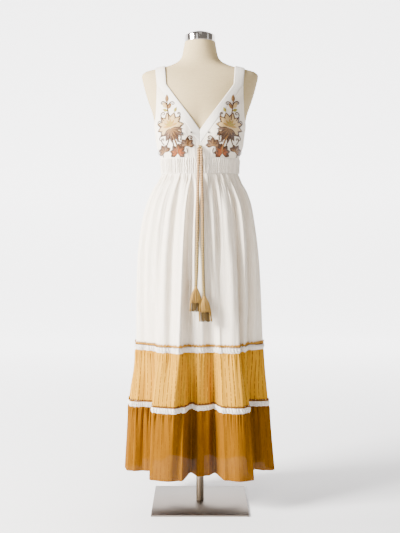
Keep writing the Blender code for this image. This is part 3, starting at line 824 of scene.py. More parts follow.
@dataclass(frozen=True)
class PolishedChrome:
    """Bright chrome with faint wipe marks."""

    name: str = "polished_chrome"
    tint: Colour = (0.64, 0.61, 0.58)

    def make(self) -> bpy.types.Material:
        """Build the chrome's material."""
        mix = Recipe(self.name)
        place = mix.object_place()
        wipe = mix.noise(place, (40.0, 40.0, 260.0), detail=3.0)
        rough = mix.plus(mix.times(mix.span(wipe, 0.4, 0.8), 0.04), 0.09)
        return mix.finish(mix.principled(Base_Color=self.tint, Metallic=1.0, Roughness=rough))


@dataclass(frozen=True)
class StitchedThread:
    """Shiny thread laid side by side: satin stitch, cord plies and tassels."""

    name: str
    light: Colour
    shade: Colour
    thread: float
    low: Colour | None = None
    low_span: tuple[float, float] = (1.02, 0.80)

    def make(self) -> bpy.types.Material:
        """Build the thread's material."""
        mix = Recipe(self.name)
        flat, across, up = mix.flat_place()
        along = mix.plus(up, mix.times(across, 0.35))
        wobble = mix.noise(flat, (220.0, 220.0, 1.0))
        phase = mix.plus(mix.times(along, 2.0 * math.pi / self.thread), mix.times(wobble, 2.5))
        ridge = mix.math("SINE", phase)
        # Painted shade and highlight: the grooves between threads take the shaded tone and their ridges the
        # lit tone, by the same wave as the bump.
        tint = mix.blend(mix.times(mix.plus(mix.span(ridge, -1.0, 0.6), wobble), 0.6), self.shade, self.light)
        if self.low is not None:
            height = mix.axes(mix.object_place())[2]
            tint = mix.blend(mix.times(mix.span(height, *self.low_span), 0.70), tint, self.low)
        normal = mix.bump(ridge, 0.20 * self.thread)
        gloss = {"Roughness": 0.45, "Sheen_Weight": 0.03, "Specular_IOR_Level": 0.3}
        return mix.finish(mix.principled(Base_Color=tint, Normal=normal, **gloss))


@dataclass(frozen=True)
class Bead:
    """A dark glossy bead."""

    name: str = "dark_bead"
    tint: Colour = (0.015, 0.012, 0.012)

    def make(self) -> bpy.types.Material:
        """Build the bead's material."""
        mix = Recipe(self.name)
        cloud = mix.noise(mix.object_place(), (30.0, 30.0, 30.0))
        tint = mix.blend(cloud, tuple(value * 0.97 for value in self.tint), self.tint)
        return mix.finish(mix.principled(Roughness=0.15, Coat_Weight=0.6, Base_Color=tint))


@dataclass(frozen=True)
class Backdrop:
    """The pale floor and the wall behind it, which glows softly as if lit on its own."""

    tint: Colour = (0.78, 0.78, 0.79)
    glow: float = 3.1
    dark_until: float = -0.2
    bright_from: float = 3.4

    def make(self) -> bpy.types.Material:
        """Build the backdrop's material."""
        mix = Recipe("pale_floor")
        share = mix.span(mix.axes(mix.object_place())[1], self.dark_until, self.bright_from)
        return mix.finish(
            mix.principled(
                Base_Color=self.tint, Roughness=0.7, Emission_Color=(1.0, 0.99, 1.0),
                Emission_Strength=mix.times(share, self.glow),
            )
        )


@dataclass(frozen=True)
class OpenLace:
    """White cotton lace: rows of small holes between raised threads."""

    name: str = "white_lace"
    tint: Colour = (0.92, 0.865, 0.80)
    shade: Colour = (0.74, 0.67, 0.59)
    repeat: float = 0.0066
    middle: float = 0.0085
    net_half: float = 0.0062

    def make(self) -> bpy.types.Material:
        """Build the lace's material."""
        mix = Recipe(self.name)
        flat, across, up = mix.flat_place()
        cross = mix.times(mix.waves(across, self.repeat), mix.waves(up, self.repeat))
        fuzz = mix.noise(flat, (900.0, 900.0, 1.0))
        hole = mix.span(mix.plus(cross, mix.times(fuzz, 0.25)), 0.42, 0.62)
        inside = mix.math("LESS_THAN", mix.math("ABSOLUTE", mix.minus(up, self.middle)), self.net_half)
        # Painted shade: the cloth darkens to the shaded tone round each hole, where the bump sinks.
        tint = mix.blend(mix.span(cross, -0.2, 0.45), self.tint, self.shade)
        height = mix.minus(mix.times(fuzz, 0.4), mix.span(cross, -0.6, 0.5))
        gloss = {"Roughness": 0.85, "Sheen_Weight": 0.3, "Specular_IOR_Level": 0.2}
        cloth = mix.principled(Base_Color=tint, Normal=mix.bump(height, 0.0007), **gloss)
        clear = mix.node("ShaderNodeBsdfTransparent").outputs[0]
        return mix.finish(mix.layered(mix.times(mix.times(hole, inside), 0.55), cloth, clear))


class Thread(Enum):
    """The embroidery's thread colours, in the order of its material slots."""

    CREAM = 0
    GOLD = 1
    OLIVE = 2
    TAN = 3
    BROWN = 4
    RUST = 5
    BEAD = 6


PLY_THREAD = 0.0005
TASSEL_THREAD = 0.0008
SATIN_THREAD = 0.0012
PLIES = (
    ("cream_ply", (0.60, 0.36, 0.155), (0.37, 0.20, 0.07), (0.25, 0.185, 0.04)),
    ("brown_ply", (0.095, 0.040, 0.013), (0.045, 0.018, 0.005), (0.030, 0.022, 0.004)),
    ("olive_ply", (0.36, 0.23, 0.06), (0.18, 0.11, 0.022), None),
)
EMBROIDERY_TINTS = (
    (Thread.CREAM, (0.70, 0.49, 0.22), (0.36, 0.20, 0.065)),
    (Thread.GOLD, (0.52, 0.29, 0.055), (0.24, 0.11, 0.015)),
    (Thread.OLIVE, (0.40, 0.32, 0.035), (0.17, 0.12, 0.010)),
    (Thread.TAN, (0.25, 0.125, 0.036), (0.12, 0.052, 0.014)),
    (Thread.BROWN, (0.085, 0.036, 0.012), (0.035, 0.013, 0.004)),
    (Thread.RUST, (0.34, 0.085, 0.013), (0.15, 0.032, 0.005)),
)
TASSEL_TINTS = (
    ("tassel_gold", (0.45, 0.26, 0.045), (0.21, 0.105, 0.013)),
    ("tassel_brown", (0.105, 0.058, 0.005), (0.035, 0.017, 0.001)),
    ("tassel_tan", (0.27, 0.140, 0.022), (0.11, 0.050, 0.007)),
)


class Finishes:
    """Every finish of the dress and its stand, made once."""

    def __init__(self) -> None:
        """Build all materials."""
        self.steel_plate = BrushedSteel(
            "brushed_steel_plate", (0.225, 0.193, 0.166), (3.0, 900.0, 900.0), 0.33, edge=0.6, stretch=0.85
        ).make()
        self.steel_pole = BrushedSteel(
            "brushed_steel_pole", (0.42, 0.35, 0.26), (700.0, 700.0, 14.0), 0.42, metallic=0.8
        ).make()
        self.chrome = PolishedChrome().make()
        self.linen = FormLinen().make()
        self.white = WovenCotton(
            "white_cotton", (0.90, 0.82, 0.72), (0.78, 0.69, 0.56), (0.50, 0.43, 0.34),
            stripe_strength=0.32, glow=0.06, crinkle=0.0008,
        ).make()
        self.white_smooth = WovenCotton(
            "white_cotton_shirred", (0.90, 0.83, 0.74), (0.76, 0.68, 0.57), (0.80, 0.77, 0.72),
            stripe_strength=0.0, crinkle=0.0002,
        ).make()
        self.white_band = WovenCotton(
            "white_cotton_band", (0.88, 0.83, 0.76), (0.80, 0.74, 0.65), (0.58, 0.50, 0.40),
            stripe_strength=0.0, crinkle=0.0003, stitched_width=0.0314,
        ).make()
        self.ochre = WovenCotton(
            "ochre_cotton", (0.55, 0.275, 0.013), (0.42, 0.190, 0.008), (0.06, 0.024, 0.004),
            stripe_gap=0.0130, stripe_share=0.075, stripe_strength=1.0, dash=150.0, crinkle_shade=0.6,
            crinkle=0.0010, gloss=0.04,
        ).make()
        self.mustard = WovenCotton(
            "mustard_cotton", (0.200, 0.078, 0.0010), (0.140, 0.050, 0.0006), (0.06, 0.019, 0.001),
            stripe_gap=0.0130, stripe_share=0.06, stripe_strength=0.6, glow=0.08, openness=0.010,
            dash=150.0, crinkle_shade=0.4, crinkle=0.0010, gloss=0.03, hem_depth=0.009,
        ).make()
        self.edging_gold = WovenCotton(
            "edging_gold", (0.54, 0.29, 0.055), (0.32, 0.15, 0.022), (0.08, 0.03, 0.006),
            stripe_gap=0.0095, stripe_share=0.13, stripe_strength=0.9,
        ).make()
        self.edging_brown = WovenCotton(
            "edging_brown", (0.22, 0.085, 0.012), (0.11, 0.040, 0.006), (0.04, 0.015, 0.004),
            stripe_gap=0.004, stripe_share=0.2, stripe_strength=0.9,
        ).make()
        self.lace = OpenLace().make()
        self.cream_ply, self.brown_ply, self.olive_ply = [
            StitchedThread(name, light, shade, PLY_THREAD, low).make() for name, light, shade, low in PLIES
        ]
        self.threads = [
            StitchedThread(f"{thread.name.lower()}_thread", light, shade, SATIN_THREAD).make()
            for thread, light, shade in EMBROIDERY_TINTS
        ] + [Bead().make()]
        self.tassel_tints = [StitchedThread(*tint, TASSEL_THREAD).make() for tint in TASSEL_TINTS]


# Stand and form


@dataclass
class Stand:
    """The square steel plate and the pole."""

    side: float = 0.305
    thickness: float = 0.005
    edge: float = 0.0012
    pole_radius: float = 0.0125
    pole_top: float = 0.7397
    pole_steps: int = 64
    chamfer: float = 0.0006
    gap: float = 0.0003

    def build(self, looks: Finishes) -> None:
        """Build the plate and the pole."""
        plate = bmesh.new()
        place = Matrix.Translation((0.0, 0.0, self.thickness / 2.0)) @ Matrix.Diagonal(
            (self.side, self.side, self.thickness, 1.0)
        )
        bmesh.ops.create_cube(plate, size=1.0, matrix=place)
        bmesh.ops.bevel(
            plate, geom=plate.edges[:], offset=self.edge, affect="EDGES", segments=3, profile=0.5, material=-1
        )
        mesh = kept("steel_plate", plate, SHARP_EDGE)
        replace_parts(link("steel_plate", mesh, looks.steel_plate), "base_plate")
        foot, top = self.thickness + self.gap, self.pole_top
        outer, inner = self.pole_radius, self.pole_radius - self.chamfer
        outline = [
            (0.0, foot), (inner, foot), (outer, foot + self.chamfer),
            (outer, top - self.chamfer), (inner, top), (0.0, top),
        ]
        mesh = turned_mesh("steel_pole", outline, self.pole_steps)
        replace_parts(link("steel_pole", mesh, looks.steel_pole), "pole")


@dataclass
class DressForm:
    """The limbless torso in linen and its chrome neck cap."""

    columns: int = 96
    rows: int = 150
    bust_top: float = 1.36
    top_gap: float = 0.0040
    lid_edge: float = 60.0
    cap_low: float = 1.4968
    cap_radius: float = 0.0494
    cap_side: float = 0.0205
    cap_dome: float = 0.0148
    cap_steps: int = 96

    def build(self, looks: Finishes) -> None:
        """Build the torso and the cap."""
        angles = np.linspace(0.0, 2.0 * np.pi, self.columns + 1)
        lower = np.linspace(FORM[0].height, self.bust_top, self.rows // 2)
        upper = np.linspace(self.bust_top, FORM[-1].height - self.top_gap, self.rows // 2)[1:]
        points = torso(angles[None, :], np.concatenate([lower, upper])[:, None])
        mesh = grid_mesh("linen_torso", points, flat_layout(points))
        close_ring(mesh, lids=True)
        mesh.set_sharp_from_angle(angle=math.radians(self.lid_edge))
        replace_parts(link("linen_torso", mesh, looks.linen), "form_body")
        mesh = turned_mesh("chrome_cap", self.cap_outline(), self.cap_steps)
        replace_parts(link("chrome_cap", mesh, looks.chrome), "neck_cap")

    def cap_outline(self) -> list[tuple[float, float]]:
        """The cap's outline, with a loop near each end of its wall and a flat dome on it."""
        low, side = self.cap_low, self.cap_radius
        rim = low + self.cap_side
        outline = [(0.0, low), (side - 0.001, low), (side, low + 0.001), (side, low + 0.0016)]
        outline += [(side, rim - 0.0014), (side, rim - 0.0008), (side - 0.0008, rim)]
        for reach in np.linspace(side - 0.0016, 0.0, 14):
            outline.append((float(reach), rim + self.cap_dome * (1.0 - (reach / side) ** 2.6)))
        return outline


# Dress


class Side(Enum):
    """The picture's two sides."""

    LEFT = -1
    RIGHT = 1


@dataclass
class Bodice:
    """Two cups and two back panels, with the neck bands that run on as straps."""

    underbust: float = 1.1170
    armpit: float = 1.2225
    armpit_round: float = 0.030
    armhole_reach: float = 0.1362
    armhole_spread: float = 0.0048
    strap_inner: float = 0.112
    strap_outer: float = 0.1434
    rows: int = 120
    columns: int = 84
    band_steps: int = 90
    band_columns: int = 13
    band_crown: float = 0.0006

    def span(self, neck: Neckline, height: np.ndarray) -> tuple[np.ndarray, np.ndarray]:
        """The angles between which a panel lies at each height.

        Args:
            neck: the face's neckline.
            height: heights in metres.

        Returns:
            The inner and the outer angle.
        """
        top = self.panel_top(neck)
        line = neck.slope * (height - neck.point + neck.drop) + 0.0003
        start = angle_at(np.maximum(line, 0.0), height)
        share = np.clip((height - self.armpit) / (top - self.armpit), 0.0, 1.0)
        edge = angle_at(self.armhole_reach + self.armhole_spread * (1.0 - share) ** 2, height)
        curl = np.clip((height - self.armpit) / self.armpit_round, 0.0, 1.0)
        bend = np.sqrt(1.0 - (1.0 - curl) ** 2)
        return start, np.pi / 2.0 + (edge - np.pi / 2.0) * bend

    def panel_top(self, neck: Neckline) -> float:
        """The height at which a panel runs out between band and armhole."""
        return neck.point - neck.drop + (self.armhole_reach - 0.0010) / neck.slope

    def gather_push(self, angle: np.ndarray, height: np.ndarray, front: bool) -> np.ndarray:
        """The soft gathers that rise from the underbust seam, strongest under the V."""
        away = height - self.underbust
        push = Gathers(90, 0.0020, 0.022, 0.013, 11, 0.6, furrow=True).push(angle, away)
        if front:
            middle = Gathers(120, 0.0034, 0.036, 0.011, 12, 0.7, furrow=True).push(angle, away)
            push = push + middle * np.exp(-((angle / 0.42) ** 2))
        return push

    def panel(self, side: Side, neck: Neckline, looks: Finishes) -> None:
        """Build a front cup or a back panel.

        Args:
            side: which side of the picture it lies on.
            neck: the front's or the back's neckline.
            looks: the finishes.
        """
        front = neck is FRONT_NECK
        heights = np.linspace(self.underbust, self.panel_top(neck), self.rows)
        start, end = self.span(neck, heights)
        share = np.linspace(0.0, 1.0, self.columns)
        angle = start[:, None] + (end - start)[:, None] * share[None, :]
        if not front:
            angle = np.pi - angle[:, ::-1]
        height = np.broadcast_to(heights[:, None], angle.shape)
        lift = CLEARANCE + CLOTH + self.gather_push(side.value * angle, height, front)
        points = self.sided(lifted(torso, angle, height, np.maximum(lift, CLEARANCE)), side)
        word = side.name.lower()
        name = f"cotton_cup_{word}" if front else f"cotton_back_{word}"
        piece = link(name, grid_mesh(name, points, flat_layout(points)), looks.white)
        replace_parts(piece, f"cup_{word}" if front else f"back_panel_{word}")

    def sided(self, points: np.ndarray, side: Side) -> np.ndarray:
        """Cut a right-hand sheet at the middle, and mirror it for the left."""
        points[..., 0] = np.maximum(points[..., 0], 0.0)
        return points[:, ::-1] * np.array([-1.0, 1.0, 1.0]) if side is Side.LEFT else points

    def strap_edge(self, neck: Neckline, step: np.ndarray, outer: bool) -> tuple[np.ndarray, np.ndarray]:
        """An edge of band and strap, from the V's point (0) to the shoulder (1).

        Args:
            neck: the face's neckline.
            step: places along the band.
            outer: True for the edge away from the neck.

        Returns:
            The edge's angles and heights.
        """
        start = neck.point - (neck.drop if outer else 0.0)
        top_reach = self.strap_outer if outer else self.strap_inner
        bend_reach = self.armhole_reach if outer else neck.bend_reach
        bend = start + bend_reach / neck.slope
        ridge = ridge_height(top_reach)
        height = start + (ridge - start) * np.sin(step * np.pi / 2.0)
        share = np.clip((height - bend) / (ridge - bend), 0.0, 1.0)
        strap_reach = bend_reach + (top_reach - bend_reach) * share
        reach = np.where(height < bend, neck.slope * (height - start), strap_reach)
        angle = angle_at(reach, height)
        return np.where(step >= 1.0, np.pi / 2.0, angle), height

    def band(self, side: Side, looks: Finishes) -> None:
        """Build a neck band that runs over the shoulder.

        Args:
            side: which side of the picture it lies on.
            looks: the finishes.
        """
        half = self.band_steps
        step = np.concatenate([np.linspace(0.0, 1.0, half), np.linspace(1.0, 0.0, half)[1:]])
        share = np.linspace(0.0, 1.0, self.band_columns)
        angle = np.zeros((len(step), self.band_columns))
        height = np.zeros_like(angle)
        for row, place in enumerate(step):
            back = row >= half
            neck = BACK_NECK if back else FRONT_NECK
            inner_angle, inner_height = self.strap_edge(neck, np.array(place), False)
            outer_angle, outer_height = self.strap_edge(neck, np.array(place), True)
            row_angle = inner_angle + (outer_angle - inner_angle) * share
            angle[row] = np.pi - row_angle if back else row_angle
            height[row] = inner_height + (outer_height - inner_height) * share
        crown = self.band_crown * (1.0 - (2.0 * share - 1.0) ** 4)
        points = self.sided(lifted(torso, angle, height, CLEARANCE + CLOTH + crown[None, :]), side)
        name = f"cotton_neck_band_{side.name.lower()}"
        piece = link(name, grid_mesh(name, points, flat_layout(points)), looks.white_band)
        wall = piece.modifiers.new("cloth thickness", "SOLIDIFY")
        wall.thickness = CLOTH
        wall.offset = -1.0
        wall.use_rim = True
        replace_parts(piece, f"neck_band_{side.name.lower()}")

    def build(self, looks: Finishes) -> None:
        """Build all bodice pieces."""
        for side in Side:
            self.panel(side, FRONT_NECK, looks)
            self.panel(side, BACK_NECK, looks)
            self.band(side, looks)


@dataclass
class Waistband:
    """The shirred waistband: upright ribs drawn in by rows of elastic thread."""

    low: float = 1.0668
    high: float = 1.1172
    ribs: int = 112
    rise: float = 0.0044
    elastic_gap: float = 0.0082
    columns: int = 520
    rows: int = 25

    def build(self, looks: Finishes) -> None:
        """Build the front and the back of the waistband."""
        for word, angle in halves(self.columns):
            height = np.linspace(self.low, self.high, self.rows)
            points = lifted(torso, angle[None, :], height[:, None], self.lift(angle, height))
            name = f"shirred_waistband_{word}"
            mesh = grid_mesh(name, points, flat_layout(points))
            piece = link(name, mesh, looks.white_smooth)
            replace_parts(piece, f"waistband_{word}")

    def lift(self, angle: np.ndarray, height: np.ndarray) -> np.ndarray:
        """How far the shirred cloth stands off the form.

        Args:
            angle: the columns' angles.
            height: the rows' heights.

        Returns:
            The lift at each row and column.
        """
        turn = (angle + np.pi / 2.0) % (2.0 * np.pi)
        dice = np.random.default_rng(21)
        swell = np.interp(turn, np.linspace(0.0, 2.0 * np.pi, 65), dice.uniform(-2.4, 2.4, 65))
        strength = np.interp(turn, np.linspace(0.0, 2.0 * np.pi, 181), dice.uniform(0.35, 1.15, 181))
        across, up = angle[None, :], height[:, None]
        sway = 0.7 * np.sin(9.0 * across + 170.0 * up) + 0.5 * np.sin(23.0 * across - 260.0 * up)
        wave = (0.5 + 0.5 * np.cos(self.ribs * angle + swell + sway)) ** 0.8 * strength
        row = np.pi * (up - self.low + 0.0008 * np.sin(11.0 * angle)[None, :]) / self.elastic_gap
        puff = 0.72 + 0.28 * np.abs(np.sin(row))
        ends = eased((height - self.low) / 0.006) * eased((self.high - height) / 0.006)
        return CLEARANCE + 0.6 * CLOTH + self.rise * wave * puff * (0.35 + 0.65 * ends[:, None])


def clear_of_form(points: np.ndarray) -> np.ndarray:
    """Move points that lie too near the form level outwards, to a little clearance."""
    sections = FORM_PROFILE.at(points[..., 2])
    side = np.where(points[..., 0] >= 0.0, sections[..., 1], sections[..., 0])
    depth = np.where(points[..., 1] <= 0.0, sections[..., 2], sections[..., 3])
    ratio = np.hypot(points[..., 0] / side, points[..., 1] / depth)
    beside = points[..., 2] > FORM[0].height - 0.01
    factor = np.where(beside, np.maximum(1.0, FORM_ROOM / np.maximum(ratio, 0.2)), 1.0)
    moved = points.copy()
    moved[..., :2] *= factor[..., None]
    return moved


@dataclass
class Tier:
    """One level of the skirt in front and back halves."""

    name: str
    node: str
    strip: Strip
    slot: str
    rows: int
    columns: int
    gathers: tuple[Gathers, ...]
    puff: float = 0.0

    def lift(self, angle: np.ndarray, height: np.ndarray) -> np.ndarray:
        """The fine push of gathers and puff at each point."""
        away = self.strip.high - height
        push = sum(gather.push(angle, away) for gather in self.gathers)
        return push + self.puff * eased(away / 0.010) * np.exp(-away / 0.05)

    def build(self, material: bpy.types.Material) -> None:
        """Build both halves in the tier's cloth."""
        for word, angle in halves(self.columns):
            share = np.linspace(0.0, 1.0, self.rows)
            height = (self.strip.low + (self.strip.high - self.strip.low) * share)[:, None]
            angle = angle[None, :]
            points = clear_of_form(lifted(skirt, angle, height, self.lift(angle, height)))
            gathered_sheet(f"{self.name}_{word}", f"{self.node}_{word}", points, material)


@dataclass
class Edging:
    """A narrow gathered ruffle that stands on a seam."""

    name: str
    node: str
    strip: Strip
    slot: str
    waves: int
    rise: float
    lift: float
    columns: int = 1500
    rows: int = 8
    draws: int = 241
    frill: float = 0.0022

    def build(self, material: bpy.types.Material) -> None:
        """Build the ring in the edging's cloth."""
        angle = np.linspace(-np.pi / 2.0, 1.5 * np.pi, self.columns + 1)
        dice = np.random.default_rng(31)
        knots = np.linspace(-np.pi / 2.0, 1.5 * np.pi, self.draws)
        phase = self.waves * angle + np.interp(angle, knots, closed_draws(dice, -1.2, 1.2, self.draws))
        wave = np.sin(phase) * np.interp(angle, knots, closed_draws(dice, 0.4, 1.0, self.draws))
        share = np.linspace(0.0, 1.0, self.rows)[:, None]
        height = self.strip.low + (self.strip.high - self.strip.low) * share
        height = height + self.frill * np.cos(phase)[None, :] * share**2
        push = self.lift + self.rise * (0.15 + share) * (1.0 + wave[None, :]) * 0.5
        points = lifted(skirt, angle[None, :], height, push)
        mesh = grid_mesh(self.name, points, flat_layout(points))
        close_ring(mesh)
        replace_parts(link(self.name, mesh, material), self.node)


@dataclass
class LaceBand:
    """A ruched lace band with a scalloped lower edge and a row of small knots along its top."""

    name: str
    node: str
    strip: Strip
    ruches: int
    rise: float = 0.0028
    scallop: float = 0.0030
    knot_radius: float = 0.0018
    knots: int = 210
    draws: int = 301
    columns: int = 900
    rows: int = 12

    def build(self, lace: bpy.types.Material, thread: bpy.types.Material) -> None:
        """Build both halves and the knots.

        Args:
            lace: the lace's finish.
            thread: the knots' finish.
        """
        dice = np.random.default_rng(61)
        spots = np.linspace(-np.pi / 2.0, 1.5 * np.pi, self.draws)
        swell = closed_draws(dice, -1.6, 1.6, self.draws)
        for word, angle in halves(self.columns):
            share = np.linspace(0.0, 1.0, self.rows)[:, None]
            phase = self.ruches * angle + np.interp(angle, spots, swell)
            height = self.strip.low + (self.strip.high - self.strip.low) * share
            height = height - self.scallop * np.abs(np.sin(0.5 * phase))[None, :] * (1.0 - share) ** 3
            belly = np.sin(np.pi * share) ** 0.7
            push = self.rise * belly * (1.0 + np.sin(phase + 2.0 * share)) * 0.6 + 0.0006 * belly
            push = push + 0.0007 * np.sin(2.7 * phase[None, :] + 9.0 * share) * belly
            points = lifted(skirt, angle[None, :], height, push)
            gathered_sheet(f"{self.name}_{word}", f"{self.node}_{word}", points, lace)
        angle = np.linspace(0.0, 2.0 * np.pi, self.knots, endpoint=False)
        angle = angle + dice.uniform(-0.006, 0.006, self.knots)
        row = bmesh.new()
        for spot in lifted(skirt, angle, np.full(self.knots, self.strip.high - 0.0006), self.knot_radius):
            place = Matrix.Translation(spot)
            bmesh.ops.create_icosphere(row, subdivisions=1, radius=self.knot_radius, matrix=place)
        name = f"{self.name}_knots"
        mesh = kept(name, row)
        mesh.uv_layers.new(name=UV_NAME)
        link(name, mesh, thread)


@dataclass
class Skirt:
    """The white skirt, both tiers, their lace bands and edgings."""

    skirt_gathers: tuple[Gathers, ...] = (
        Gathers(66, 0.0046, 0.080, 0.034, 41),
        Gathers(92, 0.0056, 0.060, 0.011, 42, furrow=True),
        Gathers(150, 0.0042, 0.030, 0.008, 52, 0.6, furrow=True),
        Gathers(60, 0.0022, 0.200, 0.016, 49, furrow=True),
    )
    ochre_gathers: tuple[Gathers, ...] = (
        Gathers(100, 0.0028, 0.050, 0.024, 44),
        Gathers(160, 0.0052, 0.032, 0.008, 45, 0.5, furrow=True),
        Gathers(44, 0.0030, 0.120, 0.014, 50, furrow=True),
    )
    mustard_gathers: tuple[Gathers, ...] = (
        Gathers(100, 0.0036, 0.060, 0.024, 47),
        Gathers(160, 0.0062, 0.038, 0.008, 48, 0.5, furrow=True),
        Gathers(60, 0.0022, 0.110, 0.014, 51, furrow=True),
    )

    def build(self, looks: Finishes) -> None:
        """Build every level from the waist down."""
        strip = Strip(0.5190, 1.0668)
        Tier("cotton_skirt", "skirt", strip, "white_cotton", 96, 560, self.skirt_gathers).build(looks.white)
        band = LaceBand("lace_band_upper", "lace_one", Strip(0.5028, 0.5190), 140)
        band.build(looks.lace, looks.edging_brown)
        strip = Strip(0.3366, 0.5028)
        tier = Tier("ochre_tier", "tier_one", strip, "ochre_cotton", 60, 540, self.ochre_gathers, 0.003)
        tier.build(looks.ochre)
        band = LaceBand("lace_band_lower", "lace_two", Strip(0.3166, 0.3328), 150)
        band.build(looks.lace, looks.edging_gold)
        strip = Strip(0.1050, 0.3166)
        tier = Tier("mustard_tier", "tier_two", strip, "mustard_cotton", 68, 540, self.mustard_gathers, 0.004)
        tier.build(looks.mustard)
        strip = Strip(0.5196, 0.5270)
        edging = Edging("gold_edging", "edging_one", strip, "ochre_cotton", 130, 0.0036, 0.0008)
        edging.build(looks.edging_gold)
        strip = Strip(0.3322, 0.3374)
        edging = Edging("brown_edging", "edging_two", strip, "brown_piping", 150, 0.0018, 0.0009)
        edging.build(looks.edging_brown)


# Cords and tassels


def smooth_route(spots: Sequence[tuple[float, float, float]], count: int) -> np.ndarray:
    """Points of a smooth curve through a route's spots.

    Args:
        spots: the route's own points.
        count: how many points to read.

    Returns:
        The points, one a row.
    """
    knots = np.array(spots, dtype=float)
    knots = np.vstack([2.0 * knots[0] - knots[1], knots, 2.0 * knots[-1] - knots[-2]])
    place = np.linspace(0.0, len(spots) - 1, count)
    first = np.minimum(place.astype(int), len(spots) - 2)
    s = (place - first)[:, None]
    a, b, c, d = knots[first], knots[first + 1], knots[first + 2], knots[first + 3]
    return 0.5 * (
        2.0 * b + (c - a) * s + (2.0 * a - 5.0 * b + 4.0 * c - d) * s ** 2
        + (3.0 * b - a - 3.0 * c + d) * s ** 3
    )


def tube_points(path: np.ndarray, radius: np.ndarray | float, sides: int) -> np.ndarray:
    """Rings of points round a path.

    Args:
        path: the path's points.
        radius: the tube's radius, one or one for each point.
        sides: how many sides the tube has.

    Returns:
        Rows along the path and columns round it, the last column on the first.
    """
    along = np.gradient(path, axis=0)
    along /= np.linalg.norm(along, axis=1, keepdims=True)
    guide = np.tile(np.array([0.0, 1.0, 0.0]), (len(path), 1))
    guide[np.abs(along[:, 1]) > 0.9] = np.array([1.0, 0.0, 0.0])
    first = np.cross(along, guide)
    first /= np.linalg.norm(first, axis=1, keepdims=True)
    second = np.cross(along, first)
    swing = np.linspace(0.0, 2.0 * np.pi, sides + 1)[None, :, None]
    reach = np.broadcast_to(np.asarray(radius, dtype=float), (len(path),))[:, None, None]
    return path[:, None, :] + reach * (np.cos(swing) * first[:, None, :] + np.sin(swing) * second[:, None, :])


def tube_flat(path: np.ndarray, radius: float, sides: int) -> np.ndarray:
    """Flat coordinates of a tube, round it and along it."""
    u = np.linspace(0.0, 2.0 * math.pi * radius, sides + 1)
    return np.stack(np.broadcast_arrays(u[None, :], lengths(path)[:, None]), axis=-1)


def tube(
    path: np.ndarray, radius: float | np.ndarray, sides: int, flat: float | None = None
) -> bpy.types.Mesh:
    """A tube's mesh, its flat layout as wide as a radius of its own where one is given."""
    layout = tube_flat(path, radius if flat is None else flat, sides)
    return grid_mesh("tube", tube_points(path, radius, sides), layout)


def merge_meshes(
    name: str, parts: Sequence[tuple[bpy.types.Mesh, int]], close: bool = True
) -> bpy.types.Mesh:
    """Join meshes into one, each with its own material slot number.

    Args:
        name: the new mesh's name.
        parts: meshes and their slot numbers.
        close: True to close open ends.

    Returns:
        The joined mesh with closed seams.
    """
    whole = bmesh.new()
    for mesh, slot in parts:
        before = len(whole.faces)
        whole.from_mesh(mesh)
        whole.faces.ensure_lookup_table()
        for face in whole.faces[before:]:
            face.material_index = slot
        bpy.data.meshes.remove(mesh)
    bmesh.ops.remove_doubles(whole, verts=whole.verts, dist=SEAM)
    if close:
        edges = [edge for edge in whole.edges if edge.is_boundary]
        bmesh.ops.holes_fill(whole, edges=edges, sides=0)
        bmesh.ops.recalc_face_normals(whole, faces=whole.faces)
    return kept(name, whole)


